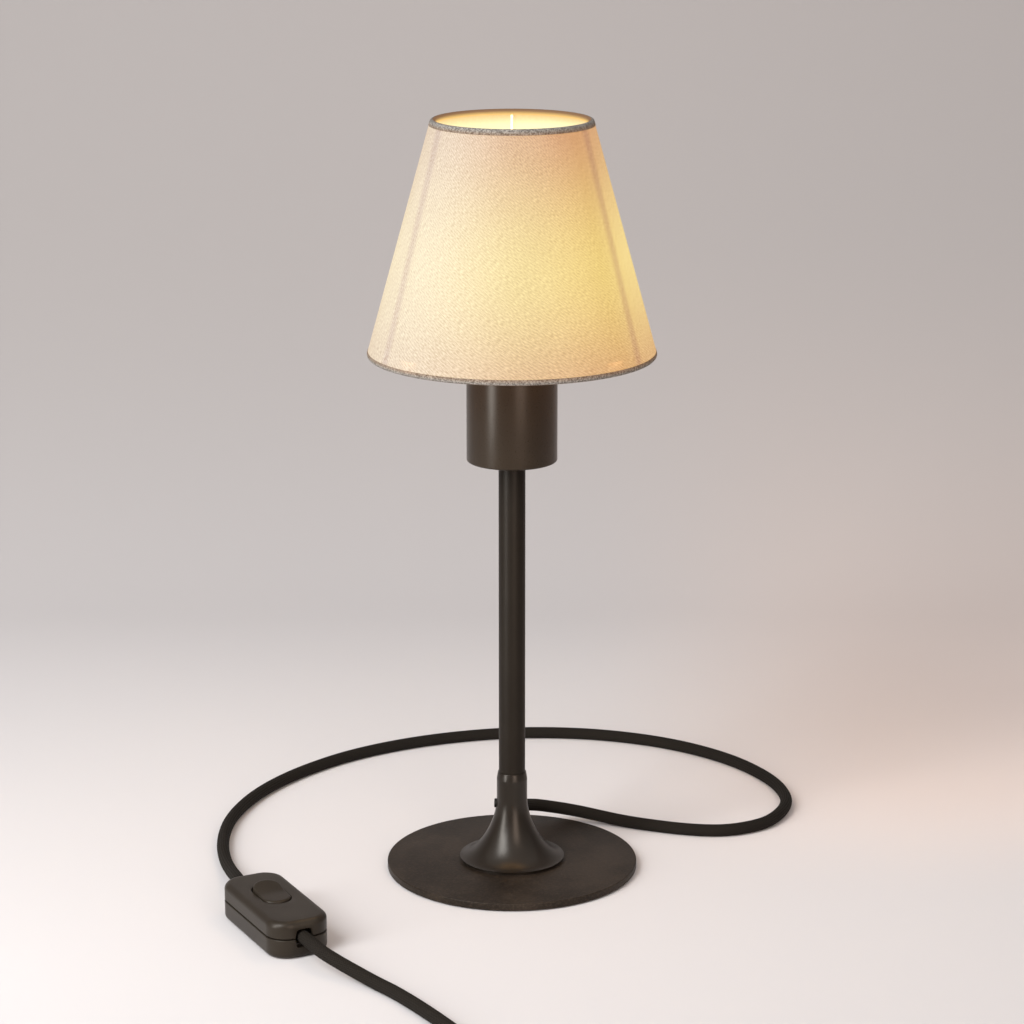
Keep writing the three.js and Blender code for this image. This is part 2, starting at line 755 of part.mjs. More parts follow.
// The globe's outline from its neck to its top, drawn in from the outside by inset.
function globe(inset, steps) {
  const radius = BULB_RADIUS - inset;
  const middle = bulbBottom + BULB_LENGTH - BULB_RADIUS;
  const neck = BULB_NECK_RADIUS - inset;
  const capTop = bulbBottom + CAP_HEIGHT;
  const start = Math.asin(Math.min(1, (neck + BULB_GLOBE_START) / radius));
  const points = [
    [neck, capTop - CAP_RIM_HEIGHT + SEAT_GAP],
    [neck, capTop + BULB_NECK_RISE * 0.25],
    [neck + BULB_NECK_FLARE, capTop + BULB_NECK_RISE * 1.4],
  ];
  for (let step = 0; step <= steps; step++) {
    const turn = start + (Math.PI - start) * (step / steps);
    points.push([step === steps ? 0 : radius * Math.sin(turn), middle - radius * Math.cos(turn)]);
  }
  return points;
}

function bulbGlass() {
  const outside = globe(0, 9);
  const inside = globe(BULB_WALL, 6);
  return turned([...outside.reverse(), ...inside], MIDDLE_ROUND);
}

// The screw cap: a cup with rolled threads, open upwards round the glass neck.
function bulbCap() {
  const bottom = bulbBottom + CAP_BUTTON_HEIGHT + SEAT_GAP;
  const top = bulbBottom + CAP_HEIGHT;
  const threadBottom = bottom + CAP_TAPER_HEIGHT + CAP_THREAD_DEPTH;
  const threadTop = top - CAP_RIM_HEIGHT;
  const threads = [];
  for (let i = 0; i <= CAP_THREADS * 2; i++) {
    const radius = CAP_RADIUS - (i % 2 === 0 ? CAP_THREAD_DEPTH : 0);
    threads.push([radius, threadBottom + ((threadTop - threadBottom) * i) / (CAP_THREADS * 2)]);
  }
  const innerRadius = BULB_NECK_RADIUS + SLIP_GAP;
  const core = CAP_RADIUS - CAP_THREAD_DEPTH - CAP_WALL;
  return turned(
    [
      [0, bottom],
      [CAP_FLAT_RADIUS, bottom],
      [CAP_RADIUS - CAP_THREAD_DEPTH, bottom + CAP_TAPER_HEIGHT],
      ...threads,
      [CAP_RADIUS, top],
      [innerRadius, top],
      [innerRadius, threadTop],
      [core, threadTop - 1],
      [core, bottom + CAP_FLOOR],
      [0, bottom + CAP_FLOOR],
    ],
    MIDDLE_ROUND,
  );
}

function bulbContact() {
  return turned(
    [
      [0, bulbBottom],
      [CAP_BUTTON_RADIUS * 0.7, bulbBottom],
      [CAP_BUTTON_RADIUS, bulbBottom + CAP_BUTTON_HEIGHT * 0.5],
      [CAP_BUTTON_RADIUS, bulbBottom + CAP_BUTTON_HEIGHT],
      [0, bulbBottom + CAP_BUTTON_HEIGHT],
    ],
    SMALL_ROUND,
  );
}

// Shade

// The fabric's outer radius at a height.
function fabricRadius(height) {
  const bottom = SHADE_BOTTOM_RADIUS - TRIM_THICKNESS - SLIP_GAP;
  const top = SHADE_TOP_RADIUS - TRIM_THICKNESS - SLIP_GAP;
  return bottom + ((top - bottom) * (height - shadeBottom)) / SHADE_HEIGHT;
}

const fabricBottom = shadeBottom + TRIM_THICKNESS + SLIP_GAP;
const fabricTop = shadeTop - TRIM_THICKNESS - SLIP_GAP;
const lowRingHeight = fabricBottom + RING_WIRE_RADIUS;
const highRingHeight = fabricTop - RING_WIRE_RADIUS;

function ringWireRadius(height) {
  return fabricRadius(height) - FABRIC_THICKNESS - SEAT_GAP - RING_WIRE_RADIUS;
}

function shadeFabric() {
  return turned(
    [
      [fabricRadius(fabricBottom) - FABRIC_THICKNESS, fabricBottom],
      [fabricRadius(fabricBottom), fabricBottom],
      [fabricRadius(fabricTop), fabricTop],
      [fabricRadius(fabricTop) - FABRIC_THICKNESS, fabricTop],
    ],
    SHADE_ROUND,
  );
}

// The tape folded over an edge: a channel that holds the fabric and the ring wire. Side is 1 at the top.
function shadeTrim(edge, side) {
  const legEnd = edge - side * TRIM_HEIGHT;
  const floor = edge - side * TRIM_THICKNESS;
  const outer = (height) => fabricRadius(height) + SLIP_GAP;
  const inner = (height) => ringWireRadius(height) - RING_WIRE_RADIUS - SLIP_GAP;
  return turned(
    [
      [outer(legEnd), legEnd],
      [outer(legEnd) + TRIM_THICKNESS, legEnd],
      [outer(edge) + TRIM_THICKNESS, edge],
      [inner(edge) - TRIM_THICKNESS, edge],
      [inner(legEnd) - TRIM_THICKNESS, legEnd],
      [inner(legEnd), legEnd],
      [inner(floor), floor],
      [outer(floor), floor],
    ],
    SHADE_ROUND,
  );
}

function frameRing(height) {
  const middle = ringWireRadius(height);
  const section = [];
  const sides = 5;
  for (let side = 0; side < sides; side++) {
    const turn = (2 * Math.PI * side) / sides;
    section.push([middle + RING_WIRE_RADIUS * Math.cos(turn), height + RING_WIRE_RADIUS * Math.sin(turn)]);
  }
  return turned(section, SHADE_ROUND);
}

function frameRib(azimuth) {
  const end = (height) =>
    polar(fabricRadius(height) - FABRIC_THICKNESS - SEAT_GAP - RIB_WIRE_RADIUS, azimuth, height);
  const spacing = RING_WIRE_RADIUS + SEAT_GAP;
  return wire(end(lowRingHeight + spacing), end(highRingHeight - spacing), RIB_WIRE_RADIUS);
}

function fitterRing() {
  return turned(
    [
      [FITTER_BORE_RADIUS, fitterBottom],
      [FITTER_RADIUS, fitterBottom],
      [FITTER_RADIUS, fitterTop],
      [FITTER_BORE_RADIUS, fitterTop],
    ],
    LARGE_ROUND,
  );
}

// A wire arm from the fitter ring's edge down to the bottom ring.
function frameArm(azimuth) {
  const ringRadius = ringWireRadius(lowRingHeight);
  const from = polar(FITTER_RADIUS, azimuth, (fitterBottom + fitterTop) / 2);
  const to = polar(ringRadius, azimuth, lowRingHeight);
  const out = to.clone().sub(from).normalize();
  const start = from.clone().addScaledVector(out, SEAT_GAP + ARM_WIRE_RADIUS * Math.abs(out.z));
  const overTape = RING_WIRE_RADIUS + SLIP_GAP + TRIM_THICKNESS + 2 * SEAT_GAP;
  const end = to.clone().addScaledVector(out, -overTape);
  return wire(start, end, ARM_WIRE_RADIUS);
}

// Cord

const exit = exitFrame();
const toSwitch = [
  [7.15, 40.9, 16],
  [12.3, 48.2, 13.2],
  [19.4, 53.55, 10.35],
  [27.3, 56.35, 8.05],
  [34.3, 56.85, 6.5],
  [44, 55.6, 4.7],
  [53.5, 52.8, 3.55],
  [63, 49.3, 3.1],
  [73, 45.4, 3.05],
  [83.5, 41.9, 3.05],
  [94, 39.8, 3.05],
  [104, 39.6, 3.05],
  [114, 42.4, 3.05],
  [126, 50.3, 3.05],
  [135, 64.5, 3.05],
  [139.5, 81, 3.05],
  [138.4, 98.5, 3.05],
  [133.6, 114.5, 3.05],
  [123.6, 133.4, 3.05],
  [111, 149.4, 3.05],
  [93.5, 164.8, 3.05],
  [73.5, 176.6, 3.05],
  [49, 185.4, 3.05],
  [24, 189.3, 3.05],
  [-1, 188.7, 3.05],
  [-25, 183.7, 3.05],
  [-48, 175.2, 3.05],
  [-69.5, 163.5, 3.05],
  [-88.5, 149.2, 3.05],
  [-105, 132, 3.05],
  [-118.5, 113.8, 3.05],
  [-129, 94.5, 3.05],
  [-136, 75.5, 3.05],
  [-140.6, 55, 3.05],
  [-142, 35, 3.05],
  [-141, 15, 3.05],
  [-138, -3, 3.3],
  [-134.1, -19.7, 5.1],
  [-130.1, -35.8, 8],
];
const fromSwitch = [
  [-84.3, -127.2, 8.7],
  [-76.9, -134.4, 7],
  [-68.5, -141.3, 5],
  [-60, -148.9, 3.45],
  [-51.8, -157.8, 3.05],
  [-43.6, -168.9, 3.05],
  [-36.4, -179.6, 3.05],
  [-29.5, -190.5, 3.05],
  [-21.7, -203.4, 3.05],
  [-14, -216, 3.05],
];

// A point on the switch's axis, this far from its middle towards the plug.
function onSwitchAxis(along) {
  return polar(along, SWITCH_AZIMUTH, SWITCH_CORD_HEIGHT).add(new THREE.Vector3(...SWITCH_CENTRE, 0));
}

function through(points) {
  const vectors = points.map((point) => (point.isVector3 ? point : new THREE.Vector3(...point)));
  return new THREE.CatmullRomCurve3(vectors, false, "centripetal");
}

// The cord inside the lamp: in through the strain relief, round a bend, and up the pole to the lampholder.
function cordInPole() {
  const half = degrees(90 - CORD_EXIT_SLOPE) / 2;
  const reach = COLLAR_RADIUS / Math.cos(degrees(CORD_EXIT_SLOPE));
  const corner = exit.start.clone().addScaledVector(exit.out, -reach);
  const tangent = INNER_BEND_RADIUS * Math.tan(half);
  const bendIn = corner.clone().addScaledVector(exit.out, tangent);
  const bendOut = corner.clone().add(new THREE.Vector3(0, 0, tangent));
  const pull = (4 / 3) * Math.tan(half / 2) * INNER_BEND_RADIUS;
  const path = new THREE.CurvePath();
  const outside = exit.start.clone().addScaledVector(exit.out, RELIEF_LENGTH);
  const top = new THREE.Vector3(0, 0, domeBottom + DOME_NECK_HEIGHT);
  path.add(new THREE.LineCurve3(outside, bendIn));
  path.add(
    new THREE.CubicBezierCurve3(
      bendIn,
      bendIn.clone().addScaledVector(exit.out, -pull),
      bendOut.clone().add(new THREE.Vector3(0, 0, -pull)),
      bendOut,
    ),
  );
  path.add(new THREE.LineCurve3(bendOut, top));
  return sweepRings(path, [2, 6, 2]);
}

// A round tube along a path of several curves, with a number of steps for each curve.
function sweepRings(path, steps) {
  const rings = [];
  let across = new THREE.Vector3(0, 0, 1);
  path.curves.forEach((curve, index) => {
    const first = index === 0 ? 0 : 1;
    for (let step = first; step <= steps[index]; step++) {
      const at = step / steps[index];
      const along = curve.getTangent(at);
      const side = new THREE.Vector3().crossVectors(along, across).normalize();
      if (side.length() < 0.5) side.crossVectors(along, new THREE.Vector3(1, 0, 0)).normalize();
      across = new THREE.Vector3().crossVectors(side, along).normalize();
      rings.push(circleOfPoints(curve.getPoint(at), side, across, CORD_RADIUS, CORD_SIDES));
    }
  });
  return geometryOf(solid(loft(rings)));
}

function circleOfPoints(centre, side, across, radius, count) {
  return Array.from({ length: count }, (_, i) => {
    const turn = (2 * Math.PI * i) / count;
    return centre
      .clone()
      .addScaledVector(side, radius * Math.cos(turn))
      .addScaledVector(across, radius * Math.sin(turn));
  });
}

function cordLampToSwitch() {
  const start = exit.start.clone().addScaledVector(exit.out, RELIEF_LENGTH + SEAT_GAP);
  const straight = start.clone().addScaledVector(exit.out, 2 * CORD_RADIUS);
  const inside = onSwitchAxis(-SWITCH_LENGTH / 2 + 2 * SWITCH_WALL);
  const outside = onSwitchAxis(-SWITCH_LENGTH / 2 - CORD_RADIUS);
  return tube(through([start, straight, ...toSwitch, outside, inside]), CORD_RADIUS, 52);
}

function coilAzimuth(turns) {
  return COIL_START_AZIMUTH - 360 * turns;
}

// The coil's middle line after some turns: in for the first part, up a layer over half a turn while the
// spiral reverses, and out again.
function coilPoint(turns) {
  const climb = 0.5;
  const before = (COIL_TURNS - climb) / 2;
  const fromReversal = turns - COIL_TURNS / 2;
  const away = Math.abs(fromReversal);
  const rounded = away < climb / 2 ? (away * away) / climb + climb / 4 : away;
  const radius = COIL_MIDDLE_RADIUS + COIL_PITCH * (rounded - (before + climb / 2) / 2);
  const share = THREE.MathUtils.clamp((turns - before) / climb, 0, 1);
  const height = cordHeight + COIL_PITCH * share * share * (3 - 2 * share);
  return polar(radius, coilAzimuth(turns), height).add(new THREE.Vector3(...COIL_CENTRE, 0));
}

// The straight end of the coil beside its first or last turn.
function coilEnd(turns, side) {
  const small = 0.001;
  const along = coilPoint(turns)
    .sub(coilPoint(turns - side * small))
    .setZ(0)
    .normalize();
  return coilPoint(turns).addScaledVector(along, 2 * CORD_RADIUS);
}

function coilPoints() {
  const steps = Math.round(COIL_TURNS * COIL_STEPS_PER_TURN);
  const points = Array.from({ length: steps + 1 }, (_, i) => coilPoint((COIL_TURNS * i) / steps));
  return [coilEnd(0, -1), ...points, coilEnd(COIL_TURNS, 1)];
}

// The least distance between turns, less the cord's diameter, on points at least half a turn apart.
function coilLeastGap(points) {
  const apart = COIL_STEPS_PER_TURN / 2;
  let least = Infinity;
  points.forEach((point, i) => {
    for (let j = i + apart; j < points.length - 1; j++) {
      const segment = new THREE.Line3(points[j], points[j + 1]);
      const nearest = segment.closestPointToPoint(point, true, new THREE.Vector3());
      least = Math.min(least, nearest.distanceTo(point));
    }
  });
  return least - 2 * CORD_RADIUS;
}

function cordCoil() {
  const points = coilPoints();
  console.log("coil: least gap to itself " + coilLeastGap(points).toFixed(2) + " mm");
  const rings = points.map((point, i) => {
    const ahead = points[Math.min(i + 1, points.length - 1)];
    const behind = points[Math.max(i - 1, 0)];
    const along = ahead.clone().sub(behind).normalize();
    const side = new THREE.Vector3(-along.y, along.x, 0).normalize();
    const up = new THREE.Vector3().crossVectors(along, side);
    return circleOfPoints(point, side, up, CORD_RADIUS, COIL_SIDES);
  });
  return geometryOf(solid(loft(rings)));
}

function cordSwitchToCoil() {
  const inside = onSwitchAxis(SWITCH_LENGTH / 2 - 2 * SWITCH_WALL);
  const outside = onSwitchAxis(SWITCH_LENGTH / 2 + CORD_RADIUS);
  const end = coilEnd(0, -1);
  const along = coilPoint(0).sub(end).normalize();
  const meet = end.clone().addScaledVector(along, -SEAT_GAP);
  const before = end.clone().addScaledVector(along, -2 * CORD_RADIUS);
  return tube(through([inside, outside, ...fromSwitch, before, meet]), CORD_RADIUS, 16);
}

// The last stretch, from the coil's top layer down to the plug's relief.
function plugLead() {
  const start = coilEnd(COIL_TURNS, 1);
  const along = start.clone().sub(coilPoint(COIL_TURNS)).normalize();
  const at = (distance, height) => start.clone().addScaledVector(along, distance).setZ(height);
  const plugHeight = PLUG_THICKNESS / 2;
  return {
    along,
    path: [
      at(SEAT_GAP, start.z),
      at(PLUG_LEAD_LENGTH * 0.2, start.z - 0.1),
      at(PLUG_LEAD_LENGTH * 0.5, (start.z + plugHeight) / 2),
      at(PLUG_LEAD_LENGTH * 0.8, plugHeight + 0.1),
      at(PLUG_LEAD_LENGTH, plugHeight),
    ],
    relief: at(PLUG_LEAD_LENGTH + SEAT_GAP, plugHeight),
  };
}

// Switch, in its own frame: +X along it towards the plug, Z = 0 on the floor

const rockerPivot = SWITCH_HEIGHT - ROCKER_PIVOT_DEPTH;
const contactPivot = SWITCH_WALL + CONTACT_PIVOT_HEIGHT;
const bladeBottom = CONTACT_PIVOT_RADIUS + 0.3;
const bladeTop = bladeBottom + CONTACT_BLADE;
const partingLow = SWITCH_PARTING - SWITCH_PARTING_GAP / 2;
const partingHigh = SWITCH_PARTING + SWITCH_PARTING_GAP / 2;

function switchRing(inset, height) {
  return roundedRing(
    SWITCH_LENGTH - 2 * inset,
    SWITCH_WIDTH - 2 * inset,
    SWITCH_CORNER_RADIUS - inset,
    height,
  );
}

// A socket for each cord: a slot with round corners through an end wall, at the parting line.
function cordPort(side) {
  const ring = roundedRing(SWITCH_PORT_HEIGHT, SWITCH_PORT_WIDTH, 1.5, 0, 2);
  const along = SWITCH_LENGTH / 2 - 3 * SWITCH_WALL;
  const rings = [0, 4 * SWITCH_WALL].map((shift) =>
    ring.map((p) => new THREE.Vector3(side * (along + shift), p.y, SWITCH_CORD_HEIGHT - side * p.x)),
  );
  return loft(rings);
}

function switchBosses(make) {
  const [x, y] = SWITCH_BOSS;
  return [make().translate(x, -y, 0), make().translate(-x, y, 0)];
}

function switchLowerShell() {
  const fillet = arc(3, (turn) =>
    switchRing(SWITCH_BOTTOM_FILLET * (1 - Math.sin(turn)), SWITCH_BOTTOM_FILLET * (1 - Math.cos(turn))),
  );
  const outside = loft([...fillet, switchRing(0, partingLow)]);
  const lipInset = SWITCH_WALL + SLIP_GAP;
  const lip = loft([switchRing(lipInset, SWITCH_WALL), switchRing(lipInset, partingLow + SWITCH_LIP_HEIGHT)]);
  const cavityInset = lipInset + SWITCH_LIP_THICKNESS;
  const cavity = loft([switchRing(cavityInset, SWITCH_WALL), switchRing(cavityInset, SWITCH_HEIGHT)]);
  const bosses = switchBosses(() => rod(SWITCH_BOSS_RADIUS, SWITCH_WALL / 2, partingLow));
  const holes = switchBosses(() => rod(SWITCH_SCREW_RADIUS + SLIP_GAP, -1, SWITCH_HEIGHT, 12));
  const headTop = SWITCH_SCREW_SINK + SWITCH_SCREW_HEAD_HEIGHT;
  const sinks = switchBosses(() => rod(SWITCH_SCREW_HEAD_RADIUS + SLIP_GAP, -1, headTop, 16));
  const shell = join(cut(join(outside, lip), cavity), ...bosses);
  return cut(shell, ...holes, ...sinks, cordPort(1), cordPort(-1));
}

function rockerWindow() {
  const length = 2 * (ROCKER_REACH + ROCKER_WINDOW_GAP);
  const width = ROCKER_WIDTH + 2 * ROCKER_WINDOW_GAP;
  const rings = [SWITCH_PARTING, SWITCH_HEIGHT + 1].map((z) => roundedRing(length, width, width / 2 - 0.01, z));
  return loft(rings).translate(ROCKER_OFFSET, 0, 0);
}

// Two ears under the top face that carry the rocker's trunnions.
function rockerEars() {
  const inner = ROCKER_WIDTH / 2 + ROCKER_WINDOW_GAP;
  return [-1, 1].map((side) => {
    const near = side > 0 ? inner : -inner - EAR_THICKNESS;
    return block(
      [ROCKER_OFFSET - EAR_WIDTH / 2, near, rockerPivot - EAR_DEPTH],
      [ROCKER_OFFSET + EAR_WIDTH / 2, near + EAR_THICKNESS, SWITCH_HEIGHT - SWITCH_WALL / 2],
    );
  });
}

function trunnionRod(radius, length) {
  return new THREE.CylinderGeometry(radius, radius, length, SMALL_ROUND);
}

function switchUpperShell() {
  const fillet = arc(4, (turn) =>
    switchRing(
      SWITCH_TOP_FILLET * (1 - Math.cos(turn)),
      SWITCH_HEIGHT - SWITCH_TOP_FILLET * (1 - Math.sin(turn)),
    ),
  );
  const outside = loft([switchRing(0, partingHigh), ...fillet]);
  const ceiling = SWITCH_HEIGHT - SWITCH_WALL;
  const cavity = loft([
    switchRing(SWITCH_WALL, 0),
    switchRing(SWITCH_WALL, ceiling - 1),
    switchRing(SWITCH_WALL + 1, ceiling),
  ]);
  const bosses = switchBosses(() => rod(SWITCH_BOSS_RADIUS - 0.4, partingHigh, ceiling + SWITCH_WALL / 2));
  const pilots = switchBosses(() =>
    rod(SWITCH_SCREW_RADIUS + SLIP_GAP, 0, SWITCH_SCREW_SINK + SWITCH_SCREW_LENGTH + SEAT_GAP, 12),
  );
  const bore = trunnionRod(TRUNNION_RADIUS + RUNNING_GAP, SWITCH_WIDTH - 4 * SWITCH_WALL).translate(
    ROCKER_OFFSET,
    0,
    rockerPivot,
  );
  const shell = join(cut(outside, cavity, rockerWindow()), ...bosses, ...rockerEars());
  return cut(shell, bore, ...pilots, cordPort(1), cordPort(-1));
}

// The rocker's top in its own frame: two faces that each lie level when their end is pressed.
function rockerTop(x) {
  const soft = 2;
  const run = Math.sqrt(x * x + soft * soft) - soft;
  return ROCKER_PIVOT_DEPTH + ROCKER_PROUD + run * Math.tan(degrees(ROCKER_TILT));
}

// An outline with round ends, whose ends stay on a circle round the pivot at the height that they reach.
function rockerRing(scale, heightAt) {
  const halfWidth = (ROCKER_WIDTH / 2) * scale;
  return roundedRing(2 * ROCKER_REACH * scale, 2 * halfWidth, halfWidth - 0.01, 0).map((p) => {
    let x = p.x;
    for (let pass = 0; pass < 4; pass++) {
      const height = heightAt(x);
      x = p.x * Math.sqrt(1 - (height / ROCKER_REACH) ** 2);
    }
    return new THREE.Vector3(x, p.y, heightAt(x));
  });
}

function switchRocker() {
  const underside = ROCKER_PIVOT_DEPTH - ROCKER_THICKNESS;
  const body = loft([
    rockerRing(1, () => underside),
    rockerRing(1, () => underside + ROCKER_THICKNESS / 2),
    rockerRing(1, (x) => rockerTop(x) - ROCKER_EDGE[0]),
    rockerRing(0.98, (x) => rockerTop(x) - ROCKER_EDGE[1]),
    rockerRing(0.92, rockerTop),
    rockerRing(0.6, rockerTop),
    rockerRing(0.25, rockerTop),
  ]);
  const earOuter = ROCKER_WIDTH / 2 + ROCKER_WINDOW_GAP + EAR_THICKNESS;
  const trunnions = trunnionRod(TRUNNION_RADIUS, 2 * earOuter);
  const hub = block(
    [-TRUNNION_RADIUS, -HUB_WIDTH / 2, -TRUNNION_RADIUS],
    [TRUNNION_RADIUS, HUB_WIDTH / 2, underside + ROCKER_THICKNESS / 4],
  );
  const plunger = rod(PLUNGER_RADIUS, -PLUNGER_REACH, 0, 12);
  return join(body, trunnions, hub, plunger);
}

// A brass terminal block with its clamp screw. Side is -1 at the lamp's end of the switch.
function terminalBlock(side) {
  const [along, across] = TERMINAL_PLACE;
  const [length, width, height] = TERMINAL_BLOCK;
  const x = side * along;
  const y = side * across;
  const body = block(
    [x - length / 2, y - width / 2, SWITCH_WALL],
    [x + length / 2, y + width / 2, SWITCH_WALL + height],
  );
  const top = SWITCH_WALL + height;
  const clamp = rod(TERMINAL_CLAMP_RADIUS, top - height / 2, top + TERMINAL_CLAMP_PROUD, 12);
  return join(body, clamp.translate(x, y, 0));
}

// The terminal at the lamp's end, with a strip to the button that the moving contact lands on.
function lampTerminal() {
  const button = ROCKER_OFFSET - CONTACT_REACH + LANDING_INSET;
  const top = SWITCH_WALL + STRIP_THICKNESS;
  const stripEnd = button + LANDING_RADIUS + SEAT_GAP;
  const strip = block([-TERMINAL_PLACE[0], -STRIP_SIDE, SWITCH_WALL], [stripEnd, CONTACT_WIDTH / 2, top]);
  const landing = contactPivot + lowEndOfBlade();
  const post = rod(LANDING_RADIUS, SWITCH_WALL, landing, 12).translate(button, 0, 0);
  return join(terminalBlock(-1), strip, post);
}

// The height of the blade's lowered end from its pivot, where the landing button's outer edge is, with a
// running gap under it.
function lowEndOfBlade() {
  const turn = degrees(ROCKER_TILT);
  const edge = CONTACT_REACH - LANDING_INSET + LANDING_RADIUS + SLIP_GAP;
  return bladeBottom * Math.cos(turn) - edge * Math.sin(turn) - RUNNING_GAP;
}

// The terminal at the plug's end, with a strip to the stand that the moving contact rocks on.
function plugTerminal() {
  const top = SWITCH_WALL + STRIP_THICKNESS;
  const halfWidth = CONTACT_WIDTH / 2;
  const webHalf = CONTACT_PIVOT_RADIUS * 0.6;
  const strip = block(
    [ROCKER_OFFSET - CONTACT_SADDLE[0], -halfWidth, SWITCH_WALL],
    [TERMINAL_PLACE[0], STRIP_SIDE, top],
  );
  const web = block(
    [ROCKER_OFFSET - webHalf, -halfWidth, SWITCH_WALL],
    [ROCKER_OFFSET + webHalf, halfWidth, contactPivot],
  );
  const edge = trunnionRod(CONTACT_PIVOT_RADIUS, CONTACT_WIDTH).translate(ROCKER_OFFSET, 0, contactPivot);
  return join(terminalBlock(1), strip, web, edge);
}

// The moving contact in its own frame: a blade with a saddle that rocks on the stand's round edge.
function rockingContact() {
  const halfWidth = CONTACT_WIDTH / 2;
  const blade = block([-CONTACT_REACH, -halfWidth, bladeBottom], [CONTACT_REACH, halfWidth, bladeTop]);
  const [saddleHalf, saddleDrop] = CONTACT_SADDLE;
  const saddle = block([-saddleHalf, -halfWidth, -saddleDrop], [saddleHalf, halfWidth, bladeTop]);
  const boreRadius = CONTACT_PIVOT_RADIUS + RUNNING_GAP;
  const bore = trunnionRod(boreRadius, CONTACT_WIDTH + 1);
  const mouth = block([-boreRadius, -halfWidth - 1, -1], [boreRadius, halfWidth + 1, 0]);
  return cut(join(blade, saddle), bore, mouth);
}

function switchScrew() {
  const bottom = SWITCH_SCREW_SINK;
  const headTop = bottom + SWITCH_SCREW_HEAD_HEIGHT;
  const shape = turned(
    [
      [0, bottom],
      [SWITCH_SCREW_HEAD_RADIUS, bottom],
      [SWITCH_SCREW_HEAD_RADIUS, headTop],
      [SWITCH_SCREW_RADIUS, headTop],
      [SWITCH_SCREW_RADIUS, bottom + SWITCH_SCREW_LENGTH],
      [0, bottom + SWITCH_SCREW_LENGTH],
    ],
    12,
  );
  const slot = block([-0.35, -3, bottom - 1], [0.35, 3, bottom + 0.7]);
  return cut(shape, slot);
}

function switchGroup() {
  const rocker = piece("switch_rocker", switchRocker(), "plastic");
  rocker.position.set(ROCKER_OFFSET, 0, rockerPivot);
  rocker.rotation.y = degrees(ROCKER_TILT);
  const contact = piece("switch_rocking_contact", rockingContact(), "brass");
  contact.position.set(ROCKER_OFFSET, 0, contactPivot);
  contact.rotation.y = degrees(-ROCKER_TILT);
  const [bossX, bossY] = SWITCH_BOSS;
  const screwLamp = piece("switch_screw_lamp_side", switchScrew(), "steel");
  screwLamp.position.set(-bossX, bossY, 0);
  const screwPlug = piece("switch_screw_plug_side", switchScrew(), "steel");
  screwPlug.position.set(bossX, -bossY, 0);
  const made = group(
    piece("switch_lower_shell", switchLowerShell(), "plastic"),
    piece("switch_upper_shell", switchUpperShell(), "plastic"),
    rocker,
    piece("switch_terminal_lamp_side", lampTerminal(), "brass"),
    piece("switch_terminal_plug_side", plugTerminal(), "brass"),
    contact,
    screwLamp,
    screwPlug,
  );
  made.position.set(...SWITCH_CENTRE, 0);
  made.rotation.z = degrees(SWITCH_AZIMUTH);
  return made;
}

// Plug, in its own frame: +X from the cord to the pins, the origin on its axis at the cord's end of the body

function plugBody() {
  const section = (x, width, thickness) => {
    const corner = thickness * 0.32;
    return roundedRing(thickness, width, corner, 0, 4).map((p) => new THREE.Vector3(x, p.y, -p.x));
  };
  const body = loft([
    section(0, PLUG_TAIL_WIDTH - 1.5, PLUG_TAIL_THICKNESS - 1),
    section(1, PLUG_TAIL_WIDTH, PLUG_TAIL_THICKNESS),
    section(PLUG_LENGTH * 0.22, (PLUG_TAIL_WIDTH + PLUG_GRIP_WIDTH) / 2, PLUG_THICKNESS - 0.8),
    section(PLUG_LENGTH * 0.42, PLUG_GRIP_WIDTH, PLUG_THICKNESS),
    section(PLUG_LENGTH * 0.66, PLUG_GRIP_WIDTH + 1.5, PLUG_THICKNESS),
    section(PLUG_LENGTH * 0.86, PLUG_FACE_WIDTH, PLUG_THICKNESS),
    section(PLUG_LENGTH - 0.8, PLUG_FACE_WIDTH, PLUG_THICKNESS),
    section(PLUG_LENGTH, PLUG_FACE_WIDTH - 1.4, PLUG_THICKNESS - 1.4),
  ]);
  const seats = [-1, 1].map((side) =>
    new THREE.CylinderGeometry(PLUG_PIN_RADIUS + SLIP_GAP, PLUG_PIN_RADIUS + SLIP_GAP, 2 * PLUG_PIN_SEAT, 16)
      .rotateZ(Math.PI / 2)
      .translate(PLUG_LENGTH, (side * PLUG_PIN_SPACING) / 2, 0),
  );
  return cut(body, ...seats);
}

function plugPin() {
  const sleeveEnd = 10;
  return turned(
    [
      [0, SEAT_GAP - PLUG_PIN_SEAT],
      [PLUG_PIN_RADIUS, SEAT_GAP - PLUG_PIN_SEAT],
      [PLUG_PIN_RADIUS, 0],
      [PLUG_PIN_RADIUS - 0.1, 0.5],
      [PLUG_PIN_RADIUS - 0.1, sleeveEnd],
      [PLUG_PIN_RADIUS, sleeveEnd + 0.3],
      [PLUG_PIN_RADIUS, PLUG_PIN_LENGTH - 1.2],
      [PLUG_PIN_RADIUS * 0.6, PLUG_PIN_LENGTH],
      [0, PLUG_PIN_LENGTH],
    ],
    16,
  ).rotateY(Math.PI / 2);
}

